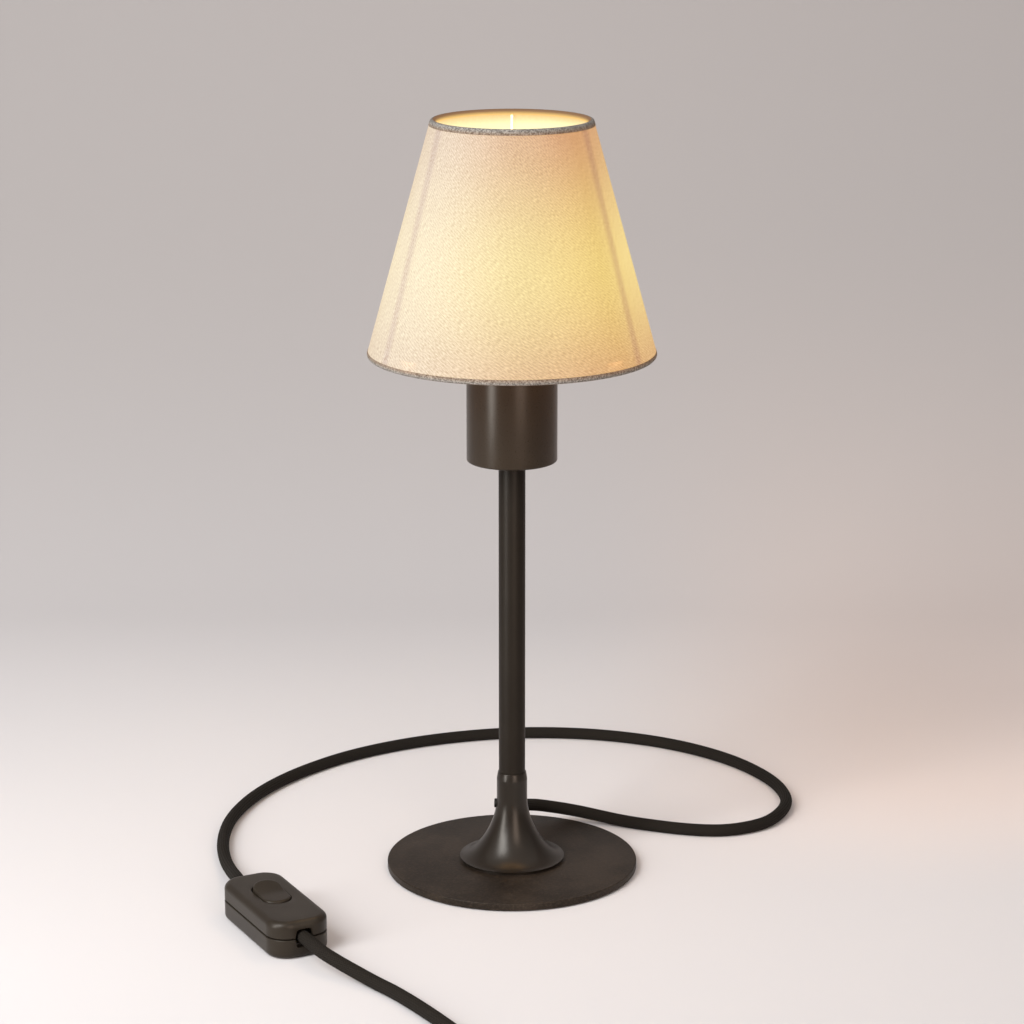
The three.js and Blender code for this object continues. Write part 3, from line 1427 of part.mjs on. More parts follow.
// A tapered sleeve with grooves, behind the plug's body.
function plugRelief() {
  const grooves = 3;
  const step = PLUG_RELIEF_LENGTH / (grooves + 1);
  const radiusAt = (back) =>
    PLUG_RELIEF_ROOT_RADIUS + ((PLUG_RELIEF_TIP_RADIUS - PLUG_RELIEF_ROOT_RADIUS) * back) / PLUG_RELIEF_LENGTH;
  const profile = [
    [0, -PLUG_RELIEF_LENGTH],
    [PLUG_RELIEF_TIP_RADIUS, -PLUG_RELIEF_LENGTH],
  ];
  for (let i = grooves; i > 0; i--) {
    const back = step * i;
    profile.push([radiusAt(back + 0.7), -back - 0.7]);
    profile.push([radiusAt(back) - 0.7, -back - 0.4]);
    profile.push([radiusAt(back) - 0.7, -back + 0.4]);
    profile.push([radiusAt(back - 0.7), -back + 0.7]);
  }
  profile.push([PLUG_RELIEF_ROOT_RADIUS, -SEAT_GAP]);
  profile.push([0, -SEAT_GAP]);
  return turned(profile, 16).rotateY(Math.PI / 2);
}

function plugGroup(lead) {
  const pins = ["plug_pin_live", "plug_pin_neutral"].map((name, i) => {
    const pin = piece(name, plugPin(), "steel");
    pin.position.set(PLUG_LENGTH, (i - 0.5) * PLUG_PIN_SPACING, 0);
    return pin;
  });
  const made = group(
    piece("plug_body", plugBody(), "plastic"),
    piece("plug_strain_relief", plugRelief(), "plastic"),
    ...pins,
  );
  made.position.copy(lead.relief).addScaledVector(lead.along, PLUG_RELIEF_LENGTH);
  made.rotation.z = Math.atan2(lead.along.y, lead.along.x);
  return made;
}

// Assembly

const lead = plugLead();

const base = group(
  piece("base_disc", baseDisc(), "black"),
  piece("base_pad", basePad(), "felt"),
  piece("base_screw", baseScrew(), "steel"),
  piece("trumpet_foot", trumpetFoot(), "black"),
  piece("cord_clamp_screw", cordClampScrew(), "holder"),
  piece("cord_strain_relief", cordStrainRelief(), "holder"),
);

const column = group(
  piece("pole_tube", poleTube(), "black"),
  piece("top_nipple", topNipple(), "steel"),
  piece("lampholder_cup", lampholderCup(), "bronze"),
  piece("lock_washer", lockWasher(), "steel"),
  piece("lock_nut", lockNut(), "steel"),
);

const lampholder = group(
  piece("holder_dome", holderDome(), "holder"),
  piece("contact_block", contactBlock(), "holder"),
  piece("terminal_screw_live", terminalScrew(-1), "steel"),
  piece("terminal_screw_neutral", terminalScrew(1), "steel"),
  piece("holder_sleeve", holderSleeve(), "holder"),
  piece("thread_shell", threadShell(), "brass"),
  piece("centre_contact", centreContact(), "brass"),
  piece("shade_ring", shadeRing(), "holder"),
);

const bulb = group(
  piece("bulb_glass", bulbGlass(), "glass"),
  piece("bulb_cap", bulbCap(), "steel"),
  piece("bulb_contact", bulbContact(), "brass"),
);

const shade = group(
  piece("shade_fabric", shadeFabric(), "cloth"),
  piece("trim_bottom", shadeTrim(shadeBottom, -1), "tape"),
  piece("trim_top", shadeTrim(shadeTop, 1), "tape"),
  piece("frame_ring_bottom", frameRing(lowRingHeight), "wire"),
  piece("frame_ring_top", frameRing(highRingHeight), "wire"),
  piece("fitter_ring", fitterRing(), "wire"),
);
for (let i = 0; i < RIBS; i++) {
  const azimuth = 90 + (360 * i) / RIBS;
  shade.add(piece("frame_rib_" + (i + 1), frameRib(azimuth), "wire"));
  shade.add(piece("frame_arm_" + (i + 1), frameArm(azimuth), "wire"));
}

const cords = group(
  piece("cord_in_pole", cordInPole(), "cord"),
  piece("cord_lamp_to_switch", cordLampToSwitch(), "cord"),
  piece("cord_switch_to_coil", cordSwitchToCoil(), "cord"),
  piece("cord_coil", cordCoil(), "cord"),
  piece("cord_coil_to_plug", tube(through(lead.path), CORD_RADIUS, 5), "cord"),
);

export default group(base, column, lampholder, bulb, shade, cords, switchGroup(), plugGroup(lead));
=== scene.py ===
# A table lamp with a lit conical shade, a metal foot and pole, and a textile cord with a rocker switch.
from math import acos, asin, atan2, cos, hypot, pi, radians, sin, tan

import bmesh
import bpy
import numpy as np
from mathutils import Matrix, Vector


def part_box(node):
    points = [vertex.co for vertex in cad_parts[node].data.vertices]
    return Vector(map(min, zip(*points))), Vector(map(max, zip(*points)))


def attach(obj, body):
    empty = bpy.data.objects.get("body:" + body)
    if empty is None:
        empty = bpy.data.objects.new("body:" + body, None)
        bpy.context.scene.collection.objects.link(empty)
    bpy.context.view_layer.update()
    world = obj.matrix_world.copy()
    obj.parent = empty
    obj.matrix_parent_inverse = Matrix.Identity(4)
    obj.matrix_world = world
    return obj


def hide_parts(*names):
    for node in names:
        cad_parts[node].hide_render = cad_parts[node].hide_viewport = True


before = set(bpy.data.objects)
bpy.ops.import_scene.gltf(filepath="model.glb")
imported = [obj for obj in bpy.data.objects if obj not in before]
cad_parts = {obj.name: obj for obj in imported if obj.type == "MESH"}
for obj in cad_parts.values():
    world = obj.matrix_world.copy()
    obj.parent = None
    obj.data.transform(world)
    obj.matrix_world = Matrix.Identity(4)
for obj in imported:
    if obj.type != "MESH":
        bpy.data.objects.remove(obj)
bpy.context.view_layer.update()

MM = 0.001

# Camera: where the photograph's stood, on the lamp's centre line and tipped down. Metres and degrees
CAMERA_PLACE = (0.0, -1.3906, 0.5406)
CAMERA_DOWN = 14.673
# Its lens and sensor, in millimetres
CAMERA_LENS = 107.76
CAMERA_SENSOR = 36.0


# Shapes

SAME_PLACE = 1e-7
NO_LENGTH = 1e-8
SHARP_ANGLE = radians(32)
SPAN_POINTS = 16
CORNER_POINTS = 24
WIRE_SIDES = 20
WIRE_END_ROUNDING = 0.25


def woven(name, grid, closed=(False, False), uv=None):
    """A mesh from a grid of points (rows, columns, 3), with a face between each four neighbours.
    closed says which of the two ways joins its last line to its first. Faces are turned outwards."""
    grid = np.asarray(grid, dtype=np.float64)
    rows, columns = grid.shape[:2]
    row = np.arange(rows if closed[0] else rows - 1)[:, None]
    column = np.arange(columns if closed[1] else columns - 1)[None, :]
    row, column = np.broadcast_arrays(row, column)
    this_row, next_row = row * columns, (row + 1) % rows * columns
    next_column = (column + 1) % columns
    corners = [this_row + column, this_row + next_column, next_row + next_column, next_row + column]
    faces = np.stack(corners, axis=-1).reshape(-1, 4)
    points = grid.reshape(-1, 3)
    a, b, c, d = (points[faces[:, i]] for i in range(4))
    volume = np.einsum("ij,ij->", a, np.cross(b, c)) + np.einsum("ij,ij->", a, np.cross(c, d))
    flipped = volume < 0
    if flipped:
        faces = faces[:, ::-1]
    mesh = bpy.data.meshes.new(name)
    mesh.from_pydata(points.tolist(), [], faces.tolist())
    if uv is not None:
        add_uv(mesh, np.asarray(uv), row, column, flipped)
    close_poles(mesh)
    mesh.shade_smooth()
    mesh.set_sharp_from_angle(angle=SHARP_ANGLE)
    return in_scene(name, mesh)


def in_scene(name, data):
    """A new object that shows a mesh, a light or a camera."""
    shown = bpy.data.objects.new(name, data)
    bpy.context.scene.collection.objects.link(shown)
    return shown


def add_uv(mesh, uv, row, column, flipped):
    """One UV pair per face corner, from a grid that has one line more each way than the faces."""
    corners = [uv[row, column], uv[row, column + 1], uv[row + 1, column + 1], uv[row + 1, column]]
    per_face = np.stack(corners, axis=-2).reshape(-1, 4, 2)
    if flipped:
        per_face = per_face[:, ::-1]
    layer = mesh.uv_layers.new(name="cloth")
    layer.data.foreach_set("uv", per_face.reshape(-1).astype(np.float32))


def close_poles(mesh):
    """Joins points that lie in one place, such as those of a turned piece on its axis."""
    work = bmesh.new()
    work.from_mesh(mesh)
    bmesh.ops.remove_doubles(work, verts=work.verts, dist=SAME_PLACE)
    bmesh.ops.dissolve_degenerate(work, edges=work.edges, dist=NO_LENGTH)
    work.to_mesh(mesh)
    work.free()


def softened(corners, steps=5):
    """An outline of (radius, height, rounding) corners. Each corner becomes an arc that touches both sides:
    its centre lies on the corner's bisector, and its ends a tangent's length from the corner."""
    corners = [tuple(c) + (0.0,) * (3 - len(c)) for c in corners]
    outline = []
    for i, (x, y, rounding) in enumerate(corners):
        here = np.array([x, y])
        if rounding == 0:
            outline.append(here)
            continue
        before = np.array(corners[i - 1][:2]) - here
        after = np.array(corners[(i + 1) % len(corners)][:2]) - here
        before /= np.linalg.norm(before)
        after /= np.linalg.norm(after)
        half = acos(np.clip(before @ after, -1, 1)) / 2
        tangent = rounding / tan(half)
        bisector = before + after
        centre = here + bisector / np.linalg.norm(bisector) * rounding / sin(half)
        start = here + before * tangent - centre
        end = here + after * tangent - centre
        turn = atan2(start[0] * end[1] - start[1] * end[0], start @ end)
        angles = np.linspace(0, turn, steps + 1)
        arc = centre + np.outer(np.cos(angles), start) + np.outer(np.sin(angles), [-start[1], start[0]])
        outline.extend(arc)
    return np.array(outline)


def points_of(*columns):
    """Points from an array for each of their numbers, all stretched to one shape."""
    return np.stack(np.broadcast_arrays(*columns), axis=-1)


def whole_turn(count):
    """Even angles round a circle, the last one short of the first."""
    return np.linspace(0, 2 * np.pi, count, endpoint=False)


def quarter_turn(count):
    return np.linspace(0, np.pi / 2, count)


def distances(line):
    """How far along a line each of its points lies."""
    return np.concatenate([[0], np.cumsum(np.linalg.norm(np.diff(line, axis=0), axis=1))])


def turned(name, outline, segments, uv=False, radius_at=None):
    """An outline of (radius, height) points carried round the Z axis: x = r cos a, y = r sin a, z = h.
    radius_at may change the radius with the turn a and the outline's points."""
    outline = np.asarray(outline, dtype=np.float64)
    turn = whole_turn(segments)[:, None]
    radius, height = outline.T
    if radius_at is not None:
        radius = radius_at(radius, turn, outline)
    grid = points_of(radius * np.cos(turn), radius * np.sin(turn), height)
    on_axis = outline[0, 0] == 0 and outline[-1, 0] == 0
    flat = turned_uv(outline, segments) if uv else None
    return woven(name, grid, closed=(True, not on_axis), uv=flat)


def turned_uv(outline, segments):
    """Metres round the piece at its mean radius, and metres along its closed outline."""
    along = distances(np.vstack([outline, outline[:1]]))
    around = np.linspace(0, 2 * np.pi * outline[:, 0].mean(), segments + 1)
    return points_of(around[:, None], along)


def laid(piece, start, along):
    """Lays a piece's own Z axis along a direction, from a start. The place goes into the mesh, so that the
    object stays at the origin."""
    place = Vector(along).to_track_quat("Z", "Y").to_matrix().to_4x4()
    place.translation = Vector(start)
    piece.data.transform(place)
    return piece


def spline(points):
    """A centripetal Catmull-Rom curve through the points, as the model's own curves are: on each span a
    cubic whose end slopes come from the neighbours, weighted by the square roots of the distances."""
    points = np.asarray(points, dtype=np.float64)
    before_first = 2 * points[0] - points[1]
    after_last = 2 * points[-1] - points[-2]
    p0 = np.vstack([before_first, points[:-2]])
    p1, p2 = points[:-1], points[1:]
    p3 = np.vstack([points[2:], after_last])
    gap = [np.sqrt(np.linalg.norm(b - a, axis=1))[:, None] for a, b in ((p0, p1), (p1, p2), (p2, p3))]
    start = (p1 - p0) / gap[0] - (p2 - p0) / (gap[0] + gap[1]) + (p2 - p1) / gap[1]
    end = (p2 - p1) / gap[1] - (p3 - p1) / (gap[1] + gap[2]) + (p3 - p2) / gap[2]
    start, end = start * gap[1], end * gap[1]
    t = np.linspace(0, 1, SPAN_POINTS, endpoint=False)[None, :, None]
    p1, p2, start, end = (v[:, None, :] for v in (p1, p2, start, end))
    square = 3 * (p2 - p1) - 2 * start - end
    cube = 2 * (p1 - p2) + start + end
    curve = p1 + start * t + square * t**2 + cube * t**3
    return np.vstack([curve.reshape(-1, 3), points[-1:]])


def points_at(line, at):
    """The points of a line at the given distances from its start."""
    return points_of(*(np.interp(at, distances(line), column) for column in line.T))


def evenly(path, step):
    """The same path with its points a fixed distance apart, and the distance of each from the start."""
    length = distances(path)[-1]
    at = np.linspace(0, length, int(round(length / step)) + 1)
    return points_at(path, at), at


def with_ends(grid):
    """Closes a row of rings with a point in the middle of the first and of the last."""
    first, last = (np.broadcast_to(ring.mean(axis=0), grid[:1].shape) for ring in (grid[0], grid[-1]))
    return np.concatenate([first, grid, last])


def tube(name, path, radius, step, sides):
    """A round section carried along a path. The section's two axes are square to the path, one of them
    level: side = path x up, rise = side x path, point = centre + r (cos a side + sin a rise)."""
    centre, at = evenly(path, step)
    along = np.gradient(centre, axis=0)
    along /= np.linalg.norm(along, axis=1)[:, None]
    side = np.cross(along, [0, 0, 1])
    side /= np.linalg.norm(side, axis=1)[:, None]
    rise = np.cross(side, along)
    turn = whole_turn(sides)[None, :, None]
    ring = np.cos(turn) * side[:, None] + np.sin(turn) * rise[:, None]
    grid = with_ends(centre[:, None] + radius * ring)
    at = np.concatenate([[0], at, [at[-1]]])
    around = np.linspace(0, 1, sides + 1)
    return woven(name, grid, closed=(False, True), uv=points_of(at[:, None], around)), centre


def rod(name, start, end, radius):
    """A straight round wire from one point to another, with slightly rounded ends."""
    start, end = Vector(start), Vector(end)
    length = (end - start).length
    soft = radius * WIRE_END_ROUNDING
    outline = softened([(0, 0), (radius, 0, soft), (radius, length, soft), (0, length)], 3)
    return laid(turned(name, outline, WIRE_SIDES), start, end - start)


def rounded_plan(length, width, corner):
    """A rectangle with round corners, centred, as (count, 2) points that start on the +X side."""
    turn = quarter_turn(CORNER_POINTS)
    quarter = points_of(np.cos(turn), np.sin(turn)) * corner
    reach = np.array([length / 2 - corner, width / 2 - corner])
    corners = []
    for i, side in enumerate(((1, 1), (-1, 1), (-1, -1), (1, -1))):
        c, s = cos(i * pi / 2), sin(i * pi / 2)
        corners.append(quarter @ np.array([[c, s], [-s, c]]) + reach * side)
    return np.vstack(corners)


def even_plan(plan, count):
    """The same closed outline with evenly spaced points, from the middle of its +X side."""
    loop = np.vstack([plan, plan[:1]])
    length = distances(loop)[-1]
    start = length - (loop[-1, 1] - loop[-2, 1]) / 2
    return points_at(loop, (start + np.linspace(0, length, count, endpoint=False)) % length)


# Finishes


def sum_of(kind, swapped=False):
    """A Value's method that adds one Math node: the value and another number, or the other way round."""

    def method(self, other=0.0):
        first, second = (other, self) if swapped else (self, other)
        return self.finish.node("Math", {0: first, 1: second}, operation=kind)

    return method


class Value:
    """A number that changes over a surface. Sums on it add Math nodes to its finish."""

    def __init__(self, finish, socket):
        self.finish, self.socket = finish, socket

    __add__ = __radd__ = sum_of("ADD")
    __sub__ = sum_of("SUBTRACT")
    __rsub__ = sum_of("SUBTRACT", swapped=True)
    __mul__ = __rmul__ = sum_of("MULTIPLY")
    __truediv__ = sum_of("DIVIDE")
    __pow__ = sum_of("POWER")
    sine = sum_of("SINE")
    absolute = sum_of("ABSOLUTE")
    whole = sum_of("FLOOR")
    part = sum_of("FRACT")
    least = sum_of("MINIMUM")
    turn_of = sum_of("ARCTAN2")

    def rise(self, low, high):
        """0 below low, 1 above high, and a smooth step between."""
        return self.finish.node("MapRange", {0: self, 1: low, 2: high}, interpolation_type="SMOOTHSTEP")


class Finish:
    """A material on the object's own coordinates, with the nodes that its look needs. The studio's light round
    the lamp is made in the same way, in a world instead of a material."""

    def __init__(self, name, material=None, surface="Principled BSDF", **shader):
        self.material = material or bpy.data.materials.new(name)
        self.material.use_nodes = True
        self.tree = self.material.node_tree
        self.shader = self.tree.nodes[surface]
        for socket, value in shader.items():
            self.set(socket.replace("_", " ").title().replace("Ior", "IOR"), value)

    def set(self, socket, value):
        target = self.shader.inputs[socket]
        if isinstance(value, Value):
            self.tree.links.new(value.socket, target)
        else:
            target.default_value = (*value, 1.0) if isinstance(value, tuple) and len(value) == 3 else value

    def node(self, kind, sockets, output=0, **settings):
        """Adds a node: its settings first, then the values or links of its sockets."""
        node = self.tree.nodes.new("ShaderNode" + kind)
        for name, value in settings.items():
            setattr(node, name, value)
        for name, value in sockets.items():
            if isinstance(value, Value):
                self.tree.links.new(value.socket, node.inputs[name])
            else:
                node.inputs[name].default_value = value
        return Value(self, node.outputs[output])

    def place(self):
        return self.node("TexCoord", {}, output="Object")

    def axes(self, vector):
        return [self.node("SeparateXYZ", {0: vector}, output=i) for i in range(3)]

    def uv(self):
        return self.node("UVMap", {}, uv_map="cloth")

    def noise(self, scale, detail, roughness=0.55, vector=None):
        sockets = {"Vector": vector or self.place(), "Scale": scale, "Detail": detail, "Roughness": roughness}
        return self.node("TexNoise", sockets)

    def mix(self, factor, first, second):
        """The first colour where the factor is 0 and the second where it is 1."""
        first, second = (c if isinstance(c, Value) else (*c, 1.0) for c in (first, second))
        return self.node("Mix", {0: factor, 6: first, 7: second}, output=2, data_type="RGBA")

    def bump(self, height, distance):
        """A relief that is this many metres deep where the height goes from 0 to 1."""
        self.set("Normal", self.node("Bump", {"Distance": distance, "Height": height}))


# The colour of a highlight on lacquer and plastic, a little warm
WARM_SHINE = (1.0, 0.96, 0.90)
PLASTIC_SHINE = 0.21
PLASTIC_GRAIN_DEPTH = 0.02 * MM
# To the metre, along X, Y and Z
TURNING_LINES = (60, 60, 900)
BRAID_YARNS = 16.0
# How many times its girth a cord is long where a yarn has gone once round it
BRAID_LAY = 1.15
BRAID_DEPTH = 0.22 * MM
BULB_GLOW = 24.0


def metal_paint(name, dark, light, roughness, grain, relief, shine, speckle=0.4):
    """Satin or textured lacquer on metal: a fine grain in its relief, and slow cloudiness in its tone."""
    paint = Finish(name, specular_ior_level=shine, specular_tint=WARM_SHINE)
    clouds = paint.noise(scale=34, detail=3)
    grains = paint.noise(grain, detail=5, roughness=0.65)
    tone = clouds.rise(0.35, 0.7) * 0.5 + grains.rise(0.42, 0.68) * speckle
    paint.set("Base Color", paint.mix(tone, dark, light))
    paint.set("Roughness", roughness + (grains - 0.5) * 0.12)
    paint.bump(grains, relief)
    return paint


def moulded(name, dark, light, roughness, grain=2600):
    """Moulded plastic with a fine spark-eroded grain."""
    plastic = Finish(name, specular_ior_level=PLASTIC_SHINE, specular_tint=WARM_SHINE)
    grains = plastic.noise(grain, detail=3)
    clouds = plastic.noise(scale=60, detail=2)
    plastic.set("Base Color", plastic.mix(clouds.rise(0.35, 0.75), dark, light))
    plastic.set("Roughness", roughness + (grains - 0.5) * 0.16)
    plastic.bump(grains, PLASTIC_GRAIN_DEPTH)
    return plastic


def bare_metal(name, colour, roughness):
    """Plated or stamped metal with faint level lines round it."""
    metal = Finish(name, metallic=1.0)
    lines = metal.node("Mapping", {"Vector": metal.place(), "Scale": TURNING_LINES})
    grain = metal.noise(scale=1.0, detail=4, roughness=0.6, vector=lines)
    darker = tuple(0.78 * c for c in colour)
    metal.set("Base Color", metal.mix(grain.rise(0.3, 0.7), darker, colour))
    metal.set("Roughness", roughness + (grain - 0.5) * 0.18)
    return metal


def felt_finish():
    felt = Finish("pressed felt", specular_ior_level=0.2, roughness=1.0)
    fibres = felt.noise(scale=1500, detail=6, roughness=0.75)
    felt.set("Base Color", felt.mix(fibres, (0.012, 0.012, 0.011), (0.045, 0.042, 0.04)))
    felt.bump(fibres, 0.3 * MM)
    return felt


def braid_finish(diameter):
    """A textile braid on a cord's UV map, where U is metres along it and V turns round it. Two sets of yarns
    wind opposite ways. Where their whole numbers add up to an even one, the first set lies on top."""
    braid = Finish("black textile braid", specular_ior_level=0.12)
    along, around, _ = braid.axes(braid.uv())
    lay = pi * diameter * BRAID_LAY
    right = (along / lay + around) * BRAID_YARNS
    left = (along / lay - around) * BRAID_YARNS
    over = ((right.whole() + left.whole()) * 0.5).part().rise(0.2, 0.3)
    hump_right = (right.part() * pi).sine()
    hump_left = (left.part() * pi).sine()
    height = hump_right * (1 - over) + hump_left * over
    fuzz = braid.noise(scale=2600, detail=4, roughness=0.7)
    # Painted shade in the braid's creases: darker between the yarns and lighter on their crowns, with random
    # fuzz
    tone = height * 0.7 + fuzz * 0.5
    braid.set("Base Color", braid.mix(tone.rise(0.25, 1.0), (0.0038, 0.0032, 0.0026), (0.019, 0.0155, 0.012)))
    braid.set("Roughness", 0.72 + fuzz * 0.2)
    braid.bump(height + fuzz * 0.25, BRAID_DEPTH)
    return braid


def lit_bulb_finish():
    """Opal glass that glows, warmer towards its neck."""
    glass = Finish("lit opal glass", base_color=(0.95, 0.9, 0.8), roughness=0.25, emission_strength=BULB_GLOW)
    _, _, height = glass.axes(glass.place())
    low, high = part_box("bulb_glass")
    glow = height.rise(low.z, low.z + 0.6 * (high.z - low.z))
    glass.set("Emission Color", glass.mix(glow, (1.0, 0.5, 0.2), (1.0, 0.78, 0.48)))
    return glass


# Size and place of the shade, from the model. In metres, as its finishes are

shade_low, shade_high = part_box("shade_fabric")
low_trim, high_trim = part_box("trim_bottom"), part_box("trim_top")
SHADE_BOTTOM = shade_low.z
SHADE_TOP = shade_high.z
SHADE_BOTTOM_RADIUS = shade_high.x
TRIM_OVERHANG = 1.2 * MM
SHADE_TOP_RADIUS = high_trim[1].x - TRIM_OVERHANG
FABRIC_THICKNESS = 0.5 * MM
RING_WIRE_RADIUS = 0.8 * MM
RIB_WIRE_RADIUS = 0.7 * MM
RIB_DEPTH = 0.65 * MM
ARM_WIRE_RADIUS = 1.25 * MM
ARM_BOX_MARGIN = 1.3 * MM
TAPE_THICKNESS = 0.14 * MM
TAPE_SEAT = 0.02 * MM
TAPE_EDGE = 0.05 * MM
TAPE_LEG_GAP = 1.0 * MM
CLOTH_UNDER_FOLD = 0.9 * MM
RIB_AZIMUTHS = (90.0, -150.0, -30.0)
CLOTH_BOTTOM = SHADE_BOTTOM + CLOTH_UNDER_FOLD
CLOTH_TOP = SHADE_TOP - CLOTH_UNDER_FOLD


def share_up(height):
    """How far up the shade a height is, from 0 to 1. It takes numbers as well as a finish's values."""
    return (height - SHADE_BOTTOM) / (SHADE_TOP - SHADE_BOTTOM)


def cloth_radius(height):
    return SHADE_BOTTOM_RADIUS + (SHADE_TOP_RADIUS - SHADE_BOTTOM_RADIUS) * share_up(height)


# The edging tape: the dark and light of its threads at the grey fold and, browner as painted light, where light
# comes through; the inner leg's dark tone; then the painted light that it gives off, at the fold and on the leg
TAPE_THREAD_PITCH = 0.45 * MM
TAPE_DEPTH = 0.2 * MM
TAPE_GREY = (0.10, 0.092, 0.083), (0.36, 0.34, 0.31)
TAPE_PAINTED_LIT_BROWN = (0.075, 0.058, 0.042), (0.28, 0.235, 0.185)
TAPE_INSIDE = (0.07, 0.05, 0.03)
TAPE_LIGHT_OUTSIDE = (0.0, 0.0, 0.0), (0.07, 0.03, 0.01)
TAPE_LIGHT_INSIDE = (0.20, 0.10, 0.05), (0.78, 0.50, 0.16)
# Where it goes from the fold's look to the lit one, and from the outside's to the inside's
TAPE_FOLD_FADE = 0.5 * MM, 2.7 * MM
TAPE_INSIDE_FADE = 0.5 * MM, 1.6 * MM

# The cloth: its weave, with yarns to the metre, the painted glow band's height and reach as shares of the
# shade's, how much narrower the cone is at its top, and the painted light through it at its left edge, middle,
# right and right edge, in the band and towards the rims. That painted light stands for the bulb's glow through
# the cloth and for the studio lamps outside it, which leave its left side paler and its right edge lighter
TWILL_SLOPE = radians(38)
TWILL_PITCH = 1.2 * MM
YARNS_ACROSS = 3000.0
YARNS_ALONG = 600.0
WEAVE_DEPTH = 0.04 * MM
GLOW_HEIGHT = 0.44
GLOW_REACH = 0.60
CONE_TAPER = 0.45
BAND_LIGHT = (0.64, 0.492, 0.247), (0.615, 0.43, 0.052), (0.695, 0.472, 0.065), (0.80, 0.59, 0.18)
RIM_LIGHT = (0.515, 0.35, 0.185), (0.455, 0.19, 0.0), (0.51, 0.20, 0.02), (0.57, 0.28, 0.09)
# The stretches over which one of those four goes over into the next, from -1 at the left edge to 1 at the right
LIGHT_STEPS = (-0.95, 0.1), (0.0, 0.65), (0.72, 1.0)
WIRE_SHADOW_FADE = 0.4 * MM, 4.4 * MM
LINING_TOP_FADE = 8 * MM
LINING_BOTTOM_FADE = 36 * MM
CLOTH_GREY = (0.13, 0.139, 0.147), (0.20, 0.215, 0.228)
# How far the weave and the painted shadows of the frame change the red, the green and the blue of that painted
# light
CLOTH_CONTRAST = (0.24, 0.20), (0.38, 0.30), (0.50, 0.31)


def tape_finish():
    """Edging tape: a fine cross weave round the shade's rims. The lamp's light is painted in where the tape
    lies on the cloth, as if it came through, and on its inner leg, as if it shone straight on it; the fold at
    the rim stays grey."""
    tape = Finish("grey edging tape", roughness=0.9, specular_ior_level=0.15, emission_strength=1.0)
    along, across, _ = tape.axes(tape.uv())
    x, y, z = tape.axes(tape.place())
    thread = 2 * pi / TAPE_THREAD_PITCH
    threads = (along * thread).sine() * (across * thread).sine()
    specks = tape.noise(scale=1300, detail=2, roughness=0.5)
    tone = (threads * 0.1 + specks).rise(0.3, 0.7)
    from_fold = (z - low_trim[0].z).least(high_trim[1].z - z)
    lit = from_fold.rise(*TAPE_FOLD_FADE)
    inside = (cloth_radius(z) - (x * x + y * y) ** 0.5).rise(*TAPE_INSIDE_FADE)
    outer = tape.mix(lit, tape.mix(tone, *TAPE_GREY), tape.mix(tone, *TAPE_PAINTED_LIT_BROWN))
    tape.set("Base Color", tape.mix(inside, outer, TAPE_INSIDE))
    through, shone_on = tape.mix(lit, *TAPE_LIGHT_OUTSIDE), tape.mix(lit, *TAPE_LIGHT_INSIDE)
    tape.set("Emission Color", tape.mix(inside, through, shone_on))
    tape.bump(threads * 0.3 + specks, TAPE_DEPTH)
    return tape


def twill(cloth, glow):
    """The weave's height: ribs that fall to the right, broken into short strokes by uneven yarn. It is
    fainter where the glow is brightest."""
    around, along, _ = cloth.axes(cloth.uv())
    across_rib = around * sin(TWILL_SLOPE) + along * cos(TWILL_SLOPE)
    down_rib = around * cos(TWILL_SLOPE) - along * sin(TWILL_SLOPE)
    yarn = cloth.node("CombineXYZ", {0: across_rib * YARNS_ACROSS, 1: down_rib * YARNS_ALONG})
    strokes = cloth.noise(scale=1.0, detail=1, roughness=0.5, vector=yarn)
    ribs = (across_rib * (2 * pi / TWILL_PITCH) + strokes * 2.0).sine()
    slubs = cloth.noise(scale=70, detail=3, roughness=0.5)
    weave = ribs * 0.13 + (strokes - 0.5) * 1.9 + (slubs - 0.5) * 0.2
    return weave * (1.5 - glow * 0.6)


def wire_shadows(x, y, height):
    """A mask for the painted shadows of the frame's ribs: 1 on the line of each rib behind the cloth, and 0
    away from them.
    """
    turn = y.turn_of(x)
    from_ribs = [(turn - radians(azimuth)).absolute() for azimuth in RIB_AZIMUTHS]
    one, other, third = (away.least(2 * pi - away) for away in from_ribs)
    nearest = one.least(other).least(third) * SHADE_BOTTOM_RADIUS * (1.0 - CONE_TAPER * height)
    return 1 - nearest.rise(*WIRE_SHADOW_FADE)


def lit_cloth_finish():
    """Off-white cloth over a warm lamp, on the cone's own coordinates. Its emission is painted light: a glow,
    brightest round the bulb's height, that falls off to both rims and is paler on the left where the key lamp
    falls; each wire of the frame behind it leaves a soft painted shadow."""
    cloth = Finish("lit shade cloth", roughness=0.95, specular_ior_level=0.1, emission_strength=1.0)
    x, y, z = cloth.axes(cloth.place())
    height = share_up(z)
    glow = (1 - ((height - GLOW_HEIGHT).absolute() / GLOW_REACH).least(1.0)).rise(0.0, 1.0)
    weave = twill(cloth, glow)
    # Where the frame's ribs leave painted shadows on the cloth
    painted_wire_shadow = wire_shadows(x, y, height)

    across = x / (x * x + y * y) ** 0.5
    to_middle, to_right, to_edge = (across.rise(*step) for step in LIGHT_STEPS)

    def light_across(left, middle, right, edge):
        light = cloth.mix(to_middle, left, middle)
        light = cloth.mix(to_right, light, right)
        return cloth.mix(to_edge, light, edge)

    light = cloth.mix(glow, light_across(*RIM_LIGHT), light_across(*BAND_LIGHT))
    tones = [1.0 + weave * yarn_share - painted_wire_shadow * wire_share for yarn_share, wire_share in CLOTH_CONTRAST]
    tone = cloth.node("CombineXYZ", dict(enumerate(tones)))
    cloth.set("Emission Color", cloth.node("VectorMath", {0: light, 1: tone}, operation="MULTIPLY"))
    cloth.set("Base Color", cloth.mix((weave + 0.5).rise(0.0, 1.0), *CLOTH_GREY))
    cloth.bump(weave, WEAVE_DEPTH)
    return cloth


